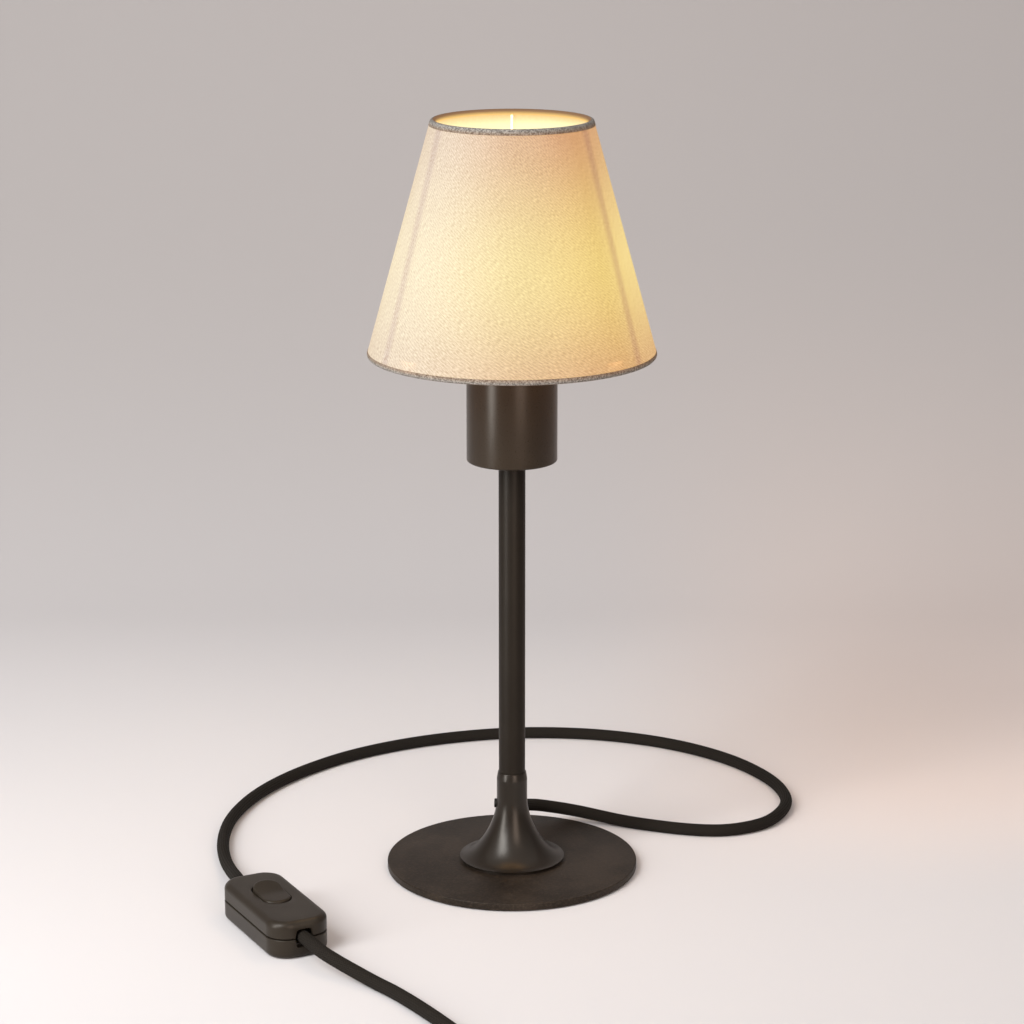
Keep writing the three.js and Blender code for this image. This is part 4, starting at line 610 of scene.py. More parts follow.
def lit_lining_finish():
    """The cloth's inner face, with the bulb's light painted on it as an emission, which thins out to orange
    just under the top rim and towards the bottom one."""
    lining = Finish("lit shade lining", base_color=(0.13, 0.11, 0.075), roughness=0.8, emission_strength=0.85)
    _, _, z = lining.axes(lining.place())
    under_rim = ((SHADE_TOP - z) / LINING_TOP_FADE).rise(0.1, 1.0)
    over_rim = ((z - SHADE_BOTTOM) / LINING_BOTTOM_FADE).rise(0.0, 1.0)
    specks = lining.noise(scale=700, detail=3)
    light = lining.mix(over_rim, (1.0, 0.46, 0.14), (0.88, 0.86, 0.52))
    light = lining.mix(under_rim * 0.9 + specks * 0.2, (0.62, 0.33, 0.08), light)
    lining.set("Emission Color", light)
    lining.bump(specks, 0.1 * MM)
    return lining


CORD_RADIUS = 3.0

DISC_PAINT = metal_paint(
    "textured disc lacquer", (0.010, 0.0068, 0.0045), (0.036, 0.0262, 0.0188),
    roughness=0.50, grain=900, relief=0.08 * MM, shine=0.20, speckle=0.7,
)
FOOT_PAINT = metal_paint(
    "satin foot lacquer", (0.0105, 0.0075, 0.005), (0.0145, 0.0105, 0.0075),
    roughness=0.30, grain=1600, relief=0.005 * MM, shine=0.36,
)
POLE_PAINT = metal_paint(
    "satin pole lacquer", (0.0115, 0.0088, 0.0066), (0.016, 0.0125, 0.0092),
    roughness=0.40, grain=2600, relief=0.012 * MM, shine=0.13,
)
CUP_PAINT = metal_paint(
    "bronze cup lacquer", (0.019, 0.0122, 0.0066), (0.024, 0.016, 0.009),
    roughness=0.29, grain=1600, relief=0.005 * MM, shine=0.30,
)
SWITCH_PLASTIC = moulded("switch plastic", (0.0185, 0.0142, 0.0102), (0.0245, 0.0195, 0.014), 0.36)
HOLDER_PLASTIC = moulded("holder plastic", (0.010, 0.0095, 0.009), (0.016, 0.015, 0.014), 0.48)
PLUG_PLASTIC = moulded("plug plastic", (0.016, 0.0135, 0.011), (0.024, 0.0205, 0.0165), 0.42)
NYLON = moulded("black nylon", (0.006, 0.006, 0.006), (0.011, 0.0105, 0.010), 0.5)
WIRE_PAINT = moulded("white wire coat", (0.70, 0.67, 0.60), (0.78, 0.75, 0.69), 0.45, grain=1200)
ZINC = bare_metal("zinc plate", (0.62, 0.62, 0.60), 0.34)
NICKEL = bare_metal("nickel plate", (0.75, 0.73, 0.69), 0.22)
BRASS = bare_metal("stamped brass", (0.80, 0.60, 0.27), 0.30)
ALUMINIUM = bare_metal("rolled cap metal", (0.78, 0.77, 0.74), 0.28)
FELT = felt_finish()
CORD_BRAID = braid_finish(2 * CORD_RADIUS * MM)
TAPE = tape_finish()
BULB_GLASS = lit_bulb_finish()
CLOTH = lit_cloth_finish()
LINING = lit_lining_finish()


def dress(piece, finish, body, slot, *nodes):
    """Gives a piece its finish and its body, and hides the solids that it stands for. Its slot is not used."""
    piece.data.materials.clear()
    piece.data.materials.append(finish.material)
    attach(piece, body)
    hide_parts(*nodes)
    return piece


def round_span(node):
    """A turned node's outer radius, bottom and top, in millimetres."""
    low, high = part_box(node)
    return (high.x - low.x) / 2 / MM, low.z / MM, high.z / MM


def turned_piece(name, corners, segments, finish, slot, node, body="lamp", steps=5):
    """A round piece from its outline's corners in millimetres, dressed."""
    return dress(turned(name, softened(corners, steps) * MM, segments), finish, body, slot, node)


# Camera


def make_camera():
    data = bpy.data.cameras.new("camera")
    data.lens = CAMERA_LENS
    data.sensor_width = CAMERA_SENSOR
    camera = in_scene("camera", data)
    camera.location = CAMERA_PLACE
    camera.rotation_euler = (radians(90 - CAMERA_DOWN), 0, 0)
    bpy.context.scene.camera = camera


# Cords. Their routes are the model's own listed points, in millimetres, as there

CORD_FLOOR = CORD_RADIUS + 0.05
CORD_STEP = 1.2
CORD_SIDES = 28
CORD_HOLE_RADIUS = 3.02
HIDDEN_IN_RELIEF = 4
HIDDEN_IN_SWITCH = 6
HIDDEN_IN_PLUG = 3
EXIT_SLOPE = 20.0
EXIT_AZIMUTH = 82.0
COLLAR_RADIUS = 7.3
EXIT_HEIGHT = 28.35
RELIEF_LENGTH = 21.0
SWITCH_CENTRE = (-108.0, -84.5)
SWITCH_AZIMUTH = -62.4
SWITCH_LENGTH = 65.8
SWITCH_CORD_HEIGHT = 9.7


def on_table(*points):
    """Points of a route where the cord lies on the table."""
    return [(x, y, CORD_FLOOR) for x, y in points]


TO_SWITCH = [
    (7.15, 40.9, 16), (12.3, 48.2, 13.2), (19.4, 53.55, 10.35), (27.3, 56.35, 8.05), (34.3, 56.85, 6.5),
    (44, 55.6, 4.7), (53.5, 52.8, 3.55), (63, 49.3, 3.1),
    *on_table(
        (73, 45.4), (83.5, 41.9), (94, 39.8), (104, 39.6), (114, 42.4), (126, 50.3), (135, 64.5), (139.5, 81),
        (138.4, 98.5), (133.6, 114.5), (123.6, 133.4), (111, 149.4), (93.5, 164.8), (73.5, 176.6),
        (49, 185.4), (24, 189.3), (-1, 188.7), (-25, 183.7), (-48, 175.2), (-69.5, 163.5), (-88.5, 149.2),
        (-105, 132), (-118.5, 113.8), (-129, 94.5), (-136, 75.5), (-140.6, 55), (-142, 35), (-141, 15),
    ),
    (-138, -3, 3.3), (-134.1, -19.7, 5.1), (-130.1, -35.8, 8),
]
FROM_SWITCH = [
    (-84.3, -127.2, 8.7), (-76.9, -134.4, 7), (-68.5, -141.3, 5), (-60, -148.9, 3.45),
    *on_table(
        (-51.8, -157.8), (-43.6, -168.9), (-36.4, -179.6), (-29.5, -190.5), (-21.7, -203.4), (-14, -216)
    ),
]
COIL_PITCH = 6.75
COIL_MIDDLE_RADIUS = 32.0
COIL_TURNS = 4.337
COIL_CLIMB_TURNS = 0.5
COIL_START_AZIMUTH = 31.3
COIL_CENTRE = (-31.6, -264.0)
COIL_POINTS = 700
LEAD_LENGTH = 32.0
PLUG_THICKNESS = 13.7


def exit_frame():
    """The point where the cord's axis leaves the collar, and the way it points."""
    azimuth, slope = radians(EXIT_AZIMUTH), radians(EXIT_SLOPE)
    level, up = np.array([cos(azimuth), sin(azimuth), 0.0]), np.array([0.0, 0.0, 1.0])
    return level * COLLAR_RADIUS + up * EXIT_HEIGHT, level * cos(slope) - up * sin(slope)


def on_switch_axis(along):
    x, y = SWITCH_CENTRE
    azimuth = radians(SWITCH_AZIMUTH)
    return np.array([x + along * cos(azimuth), y + along * sin(azimuth), SWITCH_CORD_HEIGHT])


def coil_points(turns):
    """The coil's middle line: a spiral in, a half turn that climbs one layer while the spiral reverses,
    and a spiral out. The radius grows with the distance from the reversal, rounded off near it."""
    climb = COIL_CLIMB_TURNS
    before = (COIL_TURNS - climb) / 2
    away = np.abs(turns - COIL_TURNS / 2)
    rounded = np.where(away < climb / 2, away**2 / climb + climb / 4, away)
    radius = COIL_MIDDLE_RADIUS + COIL_PITCH * (rounded - (before + climb / 2) / 2)
    share = np.clip((turns - before) / climb, 0, 1)
    height = CORD_FLOOR + COIL_PITCH * share**2 * (3 - 2 * share)
    azimuth = np.radians(COIL_START_AZIMUTH - 360 * turns)
    x, y = COIL_CENTRE
    return points_of(x + radius * np.cos(azimuth), y + radius * np.sin(azimuth), height)


def plug_line():
    """The level line on which the cord runs from the coil's end into the plug."""
    last = coil_points(np.array([COIL_TURNS - 0.001, COIL_TURNS]))
    along = last[1] - last[0]
    along[2] = 0
    along /= np.linalg.norm(along)
    return last[1], along


def make_cord(name, path, *nodes):
    """A braided cord along a path in millimetres, and its centre line in metres."""
    piece, line = tube(name, path * MM, CORD_RADIUS * MM, CORD_STEP * MM, CORD_SIDES)
    return dress(piece, CORD_BRAID, "lamp", "cord_textile", *nodes), line


def make_cord_to_switch():
    start, out = exit_frame()
    points = [
        start + out * (RELIEF_LENGTH - HIDDEN_IN_RELIEF),
        start + out * (RELIEF_LENGTH + 2 * CORD_RADIUS),
        *TO_SWITCH,
        on_switch_axis(-SWITCH_LENGTH / 2 - CORD_RADIUS),
        on_switch_axis(-SWITCH_LENGTH / 2 + HIDDEN_IN_SWITCH),
    ]
    return make_cord("cord_to_switch", spline(points), "cord_lamp_to_switch")


def make_cord_to_plug():
    tip, along = plug_line()
    low, high = tip[2], PLUG_THICKNESS / 2

    def ahead(distance, height):
        x, y, _ = tip + along * (distance + 2 * CORD_RADIUS)
        return x, y, height

    points = [
        on_switch_axis(SWITCH_LENGTH / 2 - HIDDEN_IN_SWITCH),
        on_switch_axis(SWITCH_LENGTH / 2 + CORD_RADIUS),
        *FROM_SWITCH,
        *coil_points(np.array([0.0, 0.02])),
    ]
    coil = coil_points(np.linspace(0.021, COIL_TURNS, COIL_POINTS))
    lead = [
        tip,
        ahead(0, low),
        ahead(LEAD_LENGTH * 0.2, low - 0.1),
        ahead(LEAD_LENGTH * 0.5, (low + high) / 2),
        ahead(LEAD_LENGTH * 0.8, high + 0.1),
        ahead(LEAD_LENGTH, high),
        ahead(LEAD_LENGTH + HIDDEN_IN_PLUG, high),
    ]
    path = np.vstack([spline(points)[:-1], coil[:-1], spline(lead)])
    return make_cord("cord_to_plug", path, "cord_switch_to_coil", "cord_coil", "cord_coil_to_plug")


# Base, foot and collar, in millimetres

SCREW_HOLE_RADIUS = 2.7
SCREW_SINK = 3
PAD_HOLLOW_RADIUS = 54.2
PAD_HOLLOW_DEPTH = 0.5
DISC_EDGE = 0.45
FOOT_RIM_RADIUS = 25.1
FOOT_RIM_BOTTOM = 5.2
FOOT_PEG_RADIUS = 23.4
FLARE_POWER = 1.2
FLARE_TOP = 34.2
FLARE_BOTTOM = 5.75
COLLAR_CHAMFER = 3.3
COLLAR_LIP_RADIUS = 6.72
POLE_SOCKET_RADIUS = 6.42
POLE_SOCKET_DEPTH = 3
POLE_BORE_RADIUS = 5.0
RELIEF_ROOT = -1.6
RELIEF_HEEL_RADIUS = 4.2
RELIEF_HEEL_END = 1.2
RELIEF_PLAIN_RADIUS = 4.05
RELIEF_PLAIN_END = 6.5
RELIEF_GROOVED_RADIUS = 3.95
RELIEF_GROOVED_FROM = 8
RELIEF_TAPER = 0.035
RELIEF_TIP_RADIUS = 3.5
RELIEF_GROOVES = 6
RELIEF_GROOVE_PITCH = 2.2
RELIEF_GROOVE_DEPTH = 0.4
CUP_HOLE_RADIUS = 5.1
CUP_WALL = 1.2
CUP_FLOOR = 1.5


def make_disc():
    radius, bottom, top = round_span("base_disc")
    corners = [
        (SCREW_HOLE_RADIUS, top), (SCREW_HOLE_RADIUS, bottom + SCREW_SINK),
        (PAD_HOLLOW_RADIUS, bottom + PAD_HOLLOW_DEPTH), (PAD_HOLLOW_RADIUS, bottom),
        (radius, bottom, DISC_EDGE), (radius, top, DISC_EDGE),
    ]
    turned_piece("disc", corners, 256, DISC_PAINT, "base_paint", "base_disc")


def make_foot():
    """The foot's outline: a thin rim, a quarter of a superellipse up to the collar, a chamfer at its top."""
    _, bottom, top = round_span("trumpet_foot")
    turn = quarter_turn(40)
    radius = FOOT_RIM_RADIUS - (FOOT_RIM_RADIUS - COLLAR_RADIUS) * np.sin(turn) ** FLARE_POWER
    height = FLARE_TOP - (FLARE_TOP - FLARE_BOTTOM) * np.cos(turn) ** FLARE_POWER
    rim = [
        (0, bottom), (FOOT_PEG_RADIUS, bottom), (FOOT_PEG_RADIUS, FOOT_RIM_BOTTOM),
        (FOOT_RIM_RADIUS, FOOT_RIM_BOTTOM, 0.15),
    ]
    collar = [
        (COLLAR_RADIUS, FLARE_TOP + 2), (COLLAR_RADIUS, top - COLLAR_CHAMFER, 0.4),
        (COLLAR_LIP_RADIUS, top, 0.12), (POLE_SOCKET_RADIUS, top),
        (POLE_SOCKET_RADIUS, top - POLE_SOCKET_DEPTH), (0, top - POLE_SOCKET_DEPTH),
    ]
    outline = np.vstack([softened(rim, 3), points_of(radius, height), softened(collar, 4)])
    dress(turned("foot", outline * MM, 192), FOOT_PAINT, "lamp", "foot_paint", "trumpet_foot")


def make_relief():
    """The strain relief: a sleeve that tapers along the cord, with shallow grooves near its end."""
    outline = [
        (CORD_HOLE_RADIUS, RELIEF_ROOT), (RELIEF_HEEL_RADIUS, RELIEF_ROOT, 0.1),
        (RELIEF_HEEL_RADIUS, RELIEF_HEEL_END, 0.3), (RELIEF_PLAIN_RADIUS, RELIEF_PLAIN_END, 0.3),
    ]
    for i in range(RELIEF_GROOVES):
        radius = RELIEF_GROOVED_RADIUS - RELIEF_TAPER * i
        place = RELIEF_GROOVED_FROM + RELIEF_GROOVE_PITCH * i
        sunk = radius - RELIEF_GROOVE_DEPTH
        outline += [(radius, place, 0.15), (sunk, place + 0.35, 0.1), (sunk, place + 0.75, 0.1)]
        outline += [(radius - 0.02, place + 1.1, 0.15)]
    outline += [(RELIEF_TIP_RADIUS, RELIEF_LENGTH, 0.2), (CORD_HOLE_RADIUS, RELIEF_LENGTH)]
    start, out = exit_frame()
    piece = laid(turned("strain_relief", softened(outline, 3) * MM, 48), start * MM, out)
    dress(piece, NYLON, "lamp", "black_nylon", "cord_strain_relief")


def make_pole():
    radius, bottom, top = round_span("pole_tube")
    corners = [(POLE_BORE_RADIUS, bottom), (radius, bottom), (radius, top, 0.2), (POLE_BORE_RADIUS, top)]
    turned_piece("pole", corners, 128, POLE_PAINT, "pole_paint", "pole_tube", steps=3)


def make_cup():
    radius, bottom, top = round_span("lampholder_cup")
    inner, floor = radius - CUP_WALL, bottom + CUP_FLOOR
    corners = [
        (CUP_HOLE_RADIUS, bottom), (radius, bottom, 0.9), (radius, top, 0.25), (inner, top, 0.2),
        (inner, floor), (CUP_HOLE_RADIUS, floor),
    ]
    turned_piece("cup", corners, 192, CUP_PAINT, "cup_bronze", "lampholder_cup")


# Lampholder, bulb and the shade's flat ring, in millimetres

SLEEVE_BORE_RADIUS = 15.5
SLEEVE_SKIRT_WALL = 1.5
SLEEVE_SKIRT = 6.5
RING_BORE_RADIUS = 19.5
RING_BARREL_RADIUS = 23.8
RING_FLANGE = 2.4
RING_GRIPS = 24
RING_GRIP_DEPTH = 0.7
BULB_NECK_RADIUS = 12.4
BULB_SHOULDER = 3.4
BULB_WALL = 0.9
FLAT_RING_BORE_RADIUS = 20.2


def make_sleeve():
    radius, bottom, top = round_span("holder_sleeve")
    skirt, ceiling = radius - SLEEVE_SKIRT_WALL, bottom + SLEEVE_SKIRT
    corners = [
        (skirt, bottom), (radius, bottom), (radius, top, 0.5), (SLEEVE_BORE_RADIUS, top, 0.5),
        (SLEEVE_BORE_RADIUS, ceiling), (skirt, ceiling),
    ]
    turned_piece("sleeve", corners, 128, HOLDER_PLASTIC, "holder_plastic", "holder_sleeve")


def make_shade_ring():
    """The clamping ring: a flange, and a barrel whose radius drops by the grips' depth between its ribs."""
    radius, bottom, top = round_span("shade_ring")
    step = bottom + RING_FLANGE
    corners = [
        (RING_BORE_RADIUS, bottom), (radius, bottom, 0.5), (radius, step, 0.8),
        (RING_BARREL_RADIUS, step, 0.4), (RING_BARREL_RADIUS, top, 0.6), (RING_BORE_RADIUS, top, 0.4),
    ]

    def gripped(radius, turn, outline):
        on_barrel = (outline[:, 0] > (RING_BARREL_RADIUS - 1.2) * MM) & (outline[:, 1] > (step + 0.1) * MM)
        dip = 0.5 - 0.5 * np.tanh(3 * np.sin(RING_GRIPS * turn))
        return radius - RING_GRIP_DEPTH * MM * dip * on_barrel[None, :]

    piece = turned("clamping_ring", softened(corners, 4) * MM, 480, radius_at=gripped)
    dress(piece, HOLDER_PLASTIC, "shade_ring", "holder_plastic", "shade_ring")


def make_bulb():
    """A globe on a short neck: a straight neck, a soft shoulder, and a sphere round its own centre."""
    radius, bottom, top = round_span("bulb_glass")
    middle = top - radius
    turn = np.linspace(asin((BULB_NECK_RADIUS + BULB_SHOULDER) / radius), np.pi, 48)
    globe = points_of(radius * np.sin(turn), middle - radius * np.cos(turn))
    globe[-1, 0] = 0
    neck = softened([(BULB_NECK_RADIUS, bottom), (BULB_NECK_RADIUS, globe[0, 1] - 4, 3), globe[0]], 6)
    outer = np.vstack([neck[:-1], globe])
    inner = outer.copy()
    inner[:, 0] = np.maximum(inner[:, 0] - BULB_WALL, 0)
    inner[:, 1] -= BULB_WALL * np.maximum(inner[:, 1] - middle, 0) / radius
    piece = turned("bulb", np.vstack([outer[::-1], inner]) * MM, 96)
    dress(piece, BULB_GLASS, "bulb", "bulb_glass", "bulb_glass")


# Shade


def make_cloth():
    """The shade's cloth as a cone: radius falls evenly with height, in many rings, with its own thickness.
    Its inner faces take the lining's finish."""
    height = np.linspace(CLOTH_BOTTOM, CLOTH_TOP, 60)
    outer = points_of(cloth_radius(height), height)
    inner = outer[::-1] - (FABRIC_THICKNESS, 0)
    piece = turned("shade_cloth", np.vstack([outer, inner]), 360, uv=True)
    dress(piece, CLOTH, "shade", "shade_cloth", "shade_fabric")
    piece.data.materials.append(LINING.material)
    centre = np.zeros(len(piece.data.polygons) * 3)
    piece.data.polygons.foreach_get("center", centre)
    x, y, z = centre.reshape(-1, 3).T
    inside = np.hypot(x, y) < cloth_radius(z) - FABRIC_THICKNESS / 2
    piece.data.polygons.foreach_set("material_index", inside.astype(np.int32))
    return piece


def make_trim(name, node, side):
    """The tape rolled over a rim: a thin outer leg flat on the cloth, a half-round fold, and a thin inner leg.
    Its inner outline keeps the tape's thickness all the way round."""
    low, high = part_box(node)
    leg_end, edge = (low.z, high.z) if side > 0 else (high.z, low.z)
    fold = edge - side * TAPE_THICKNESS
    outer = [cloth_radius(h) + TAPE_SEAT for h in (leg_end, edge)]
    inner = [cloth_radius(h) - TAPE_LEG_GAP - 2 * RING_WIRE_RADIUS for h in (leg_end, edge)]
    round_fold = (outer[1] - inner[1]) / 2 - TAPE_EDGE
    outline = [
        (outer[0], leg_end), (outer[0] + TAPE_THICKNESS, leg_end, TAPE_EDGE),
        (outer[1] + TAPE_THICKNESS, edge, round_fold + TAPE_THICKNESS),
        (inner[1] - TAPE_THICKNESS, edge, round_fold + TAPE_THICKNESS),
        (inner[0] - TAPE_THICKNESS, leg_end, TAPE_EDGE), (inner[0], leg_end),
        (inner[1], fold, round_fold), (outer[1], fold, round_fold),
    ]
    return dress(turned(name, softened(outline, 8), 360, uv=True), TAPE, "shade", "shade_tape", node)


def make_ring_wire(name, node):
    radius, bottom, top = round_span(node)
    wire = RING_WIRE_RADIUS / MM
    turn = whole_turn(16)
    outline = points_of(radius - wire + wire * np.cos(turn), (bottom + top) / 2 + wire * np.sin(turn))
    dress(turned(name, outline * MM, 240), WIRE_PAINT, "shade", "frame_wire", node)


def make_frame():
    """Round wire rings, ribs up the cone and arms out from the flat ring, each a piece."""
    make_ring_wire("ring_wire_low", "frame_ring_bottom")
    make_ring_wire("ring_wire_high", "frame_ring_top")
    radius, bottom, top = round_span("fitter_ring")
    bore = FLAT_RING_BORE_RADIUS
    corners = [(bore, bottom, 0.2), (radius, bottom, 0.3), (radius, top, 0.3), (bore, top, 0.2)]
    turned_piece("flat_ring", corners, 160, WIRE_PAINT, "frame_wire", "fitter_ring", "shade", 3)
    for i, azimuth in enumerate(RIB_AZIMUTHS, 1):
        x, y = cos(radians(azimuth)), sin(radians(azimuth))
        low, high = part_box("frame_rib_%d" % i)
        rib = [(cloth_radius(h) - RIB_DEPTH - RIB_WIRE_RADIUS, h) for h in (low.z, high.z)]
        low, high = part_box("frame_arm_%d" % i)
        near, far = sorted(abs(reach / y) for reach in (low.y, high.y))
        arm = [(near, high.z - ARM_BOX_MARGIN), (far, low.z + ARM_BOX_MARGIN)]
        for kind, ends, wire in (("rib", rib, RIB_WIRE_RADIUS), ("arm", arm, ARM_WIRE_RADIUS)):
            piece = rod("%s_%d" % (kind, i), *((x * r, y * r, h) for r, h in ends), wire)
            dress(piece, WIRE_PAINT, "shade", "frame_wire", "frame_%s_%d" % (kind, i))


# Switch, in its own frame and then laid in place: +X along it towards the plug, in millimetres

SWITCH_WIDTH = 29.1
SWITCH_HEIGHT = 17.6
SWITCH_CORNER = 10.0
SWITCH_WALL = 1.8
SWITCH_ROOF = 2.2
UPPER_FILLET = 3.0
LOWER_FILLET = 2.8
PARTING = 9.5
PARTING_GAP = 0.6
PARTING_CHAMFER = 0.3
INNER_LIP_RISE = 1.4
INNER_LIP_GAP = 0.15
PORT_HALF_WIDTH = 4.0
PORT_RISE = 3.9
WINDOW_LIP = 0.35
WINDOW_MEAN_REACH = 9
ROCKER_OFFSET = -4.0
ROCKER_REACH = 12.4
ROCKER_WIDTH = 13.0
ROCKER_GAP = 0.35
ROCKER_PROUD = 0.9
ROCKER_TILT = 7.7
ROCKER_PIVOT = 13.4
ROCKER_DEPTH = 3.6
ROCKER_EDGE = 0.7
ROCKER_SOFT_RIDGE = 2.0
RING_POINTS = 240
ROCKER_POINTS = 144


def lay_switch(grid):
    """Turns points from the switch's own frame into the lamp's, in metres."""
    azimuth = radians(SWITCH_AZIMUTH)
    c, s = cos(azimuth), sin(azimuth)
    x, y, z = np.moveaxis(grid, -1, 0)
    return points_of(SWITCH_CENTRE[0] + x * c - y * s, SWITCH_CENTRE[1] + x * s + y * c, z) * MM


def at_height(plan, height):
    """A plan's points as a ring at one height, or at a height each."""
    return points_of(*plan.T, height)


def shell_ring(inset, height):
    plan = rounded_plan(SWITCH_LENGTH - 2 * inset, SWITCH_WIDTH - 2 * inset, SWITCH_CORNER - inset)
    return at_height(even_plan(plan, RING_POINTS), height)


def stadium(length, width, count):
    """An even plan with half-round ends, but for a hair, which keeps its straight sides apart."""
    return even_plan(rounded_plan(length, width, width / 2 - 0.01), count)


def with_ports(ring, side):
    """Lifts a parting edge over the cord, by a stadium's outline in the middle of each end."""
    across = np.abs(ring[:, 1])
    arch = PORT_RISE * np.clip((1 - (across / PORT_HALF_WIDTH) ** 6), 0, 1) ** (1 / 4)
    on_end = np.abs(ring[:, 0]) > SWITCH_LENGTH / 2 - 4 * SWITCH_WALL
    lifted = ring.copy()
    lifted[:, 2] += side * arch * on_end
    return lifted


def parting_edge(height, side):
    """The two rings of a shell's chamfered edge. side is 1 for the upper shell and -1 for the lower."""
    rings = shell_ring(PARTING_CHAMFER, height), shell_ring(0.0, height + side * PARTING_CHAMFER)
    return [with_ports(ring, side) for ring in rings]


def fillet(radius, steps):
    """Pairs of inset and drop round a quarter circle, from the wall to the face."""
    turn = quarter_turn(steps)
    return zip(radius * (1 - np.cos(turn)), radius * (1 - np.sin(turn)))


def make_shell(name, node, rings):
    piece = woven(name, lay_switch(np.array(rings)), closed=(True, True))
    return dress(piece, SWITCH_PLASTIC, "lamp", "switch_plastic", node)


def make_upper_shell():
    low, ceiling = PARTING + PARTING_GAP / 2, SWITCH_HEIGHT - SWITCH_ROOF
    rings = parting_edge(low, 1)
    rings += [shell_ring(inset, SWITCH_HEIGHT - drop) for inset, drop in fillet(UPPER_FILLET, 12)]
    window = stadium(2 * (ROCKER_REACH + ROCKER_GAP), ROCKER_WIDTH + 2 * ROCKER_GAP, RING_POINTS)
    middle = np.array([ROCKER_OFFSET, 0.0])
    outer = rings[-1][:, :2]
    wider = WINDOW_LIP / WINDOW_MEAN_REACH
    for share in np.linspace(0.2, 1.0, 5):
        plan = outer * (1 - share) + (middle + window * (1 + wider)) * share
        rings.append(at_height(plan, SWITCH_HEIGHT))
    for turn in np.linspace(np.pi / 8, np.pi / 2, 4):
        plan = middle + window * (1 + wider * (1 - sin(turn)))
        rings.append(at_height(plan, SWITCH_HEIGHT - WINDOW_LIP * (1 - cos(turn))))
    rings.append(at_height(middle + window, ceiling))
    rings += [shell_ring(SWITCH_WALL + 1, ceiling), shell_ring(SWITCH_WALL, ceiling - 1)]
    rings.append(with_ports(shell_ring(SWITCH_WALL, low), 1))
    return make_shell("switch_top", "switch_upper_shell", rings)


def make_lower_shell():
    high = PARTING - PARTING_GAP / 2
    lip = high + INNER_LIP_RISE
    rings = parting_edge(high, -1)
    rings += [shell_ring(inset, rise) for inset, rise in fillet(LOWER_FILLET, 10)]
    underside, floor = rings[-1], shell_ring(SWITCH_WALL + 1.1, SWITCH_WALL)
    rings += [underside * (share, share, 1) for share in (0.7, 0.35, 0.0)]
    rings += [floor * (share, share, 1) for share in (0.0, 0.5, 1.0)]
    for inset, height in ((1.0, lip), (INNER_LIP_GAP, lip), (INNER_LIP_GAP, high)):
        rings.append(with_ports(shell_ring(SWITCH_WALL + inset, height), -1))
    return make_shell("switch_bottom", "switch_lower_shell", rings)


def make_rocker():
    """A stadium whose top has two slopes that meet over the pivot. Its ends keep to a circle round the pivot:
    a point at height h is drawn in by sqrt(1 - (h / reach)^2)."""
    pivot_depth = SWITCH_HEIGHT - ROCKER_PIVOT
    low = pivot_depth - ROCKER_DEPTH
    tilt = radians(ROCKER_TILT)

    def top(x):
        from_ridge = np.sqrt(x**2 + ROCKER_SOFT_RIDGE**2) - ROCKER_SOFT_RIDGE
        return pivot_depth + ROCKER_PROUD + from_ridge * tan(tilt)

    def ring(scale, height_at):
        plan = stadium(2 * ROCKER_REACH * scale, ROCKER_WIDTH * scale, ROCKER_POINTS)
        x = plan[:, 0]
        for _ in range(4):
            x = plan[:, 0] * np.sqrt(1 - (height_at(x) / ROCKER_REACH) ** 2)
        return points_of(x, plan[:, 1], height_at(x))

    rings = [ring(scale, lambda x: low) for scale in (0.01, 0.5, 1.0)]
    rings.append(ring(1.0, lambda x: low + ROCKER_DEPTH / 2))
    rings.append(ring(1.0, lambda x: top(x) - ROCKER_EDGE))
    for turn in np.linspace(np.pi / 12, np.pi / 2, 6):
        shrink = 1 - ROCKER_EDGE * (1 - cos(turn)) / (ROCKER_WIDTH / 2)
        rings.append(ring(shrink, lambda x, t=turn: top(x) - ROCKER_EDGE * (1 - sin(t))))
    rings += [ring(scale, top) for scale in (0.75, 0.6, 0.45, 0.3, 0.15, 0.01)]
    x, y, z = np.moveaxis(np.array(rings), -1, 0)
    along = ROCKER_OFFSET + x * cos(tilt) + z * sin(tilt)
    height = ROCKER_PIVOT - x * sin(tilt) + z * cos(tilt)
    grid = with_ends(points_of(along, y, height))
    piece = woven("rocker", lay_switch(grid), closed=(False, True))
    return dress(piece, SWITCH_PLASTIC, "rocker", "switch_plastic", "switch_rocker")


# Plug, in millimetres

PLUG_LENGTH = 36.0
PLUG_SQUARENESS = 4.0
PLUG_EASED = (2, 33)
PLUG_RELIEF_LENGTH = 20.0
PLUG_RELIEF_RADIUS = 5.0
PLUG_RELIEF_TAPER = 1.3
PLUG_RELIEF_TIP_RADIUS = 3.7
PLUG_RELIEF_GROOVES = 5
PLUG_RELIEF_GROOVE_PITCH = 3.4
PLUG_RELIEF_GROOVE_DEPTH = 0.75
PLUG_JOINT = 0.3
PIN_SPACING = 18.6
PIN_RADIUS = 2
PIN_ROOT = 5.6
PIN_REACH = 19
# How far along the plug, its width and its thickness there
PLUG_SECTIONS = [
    (0.0, 11.0, 8.6), (0.5, 13.2, 10.0), (2.0, 14.0, 10.6), (8.0, 20.0, 12.9), (15.0, 26.0, 13.7),
    (23.0, 27.2, 13.7), (29.0, 33.6, 13.7), (33.0, 35.0, 13.7), (35.3, 34.8, 13.5), (35.85, 34.2, 12.9),
    (PLUG_LENGTH, 33.4, 12.2),
]


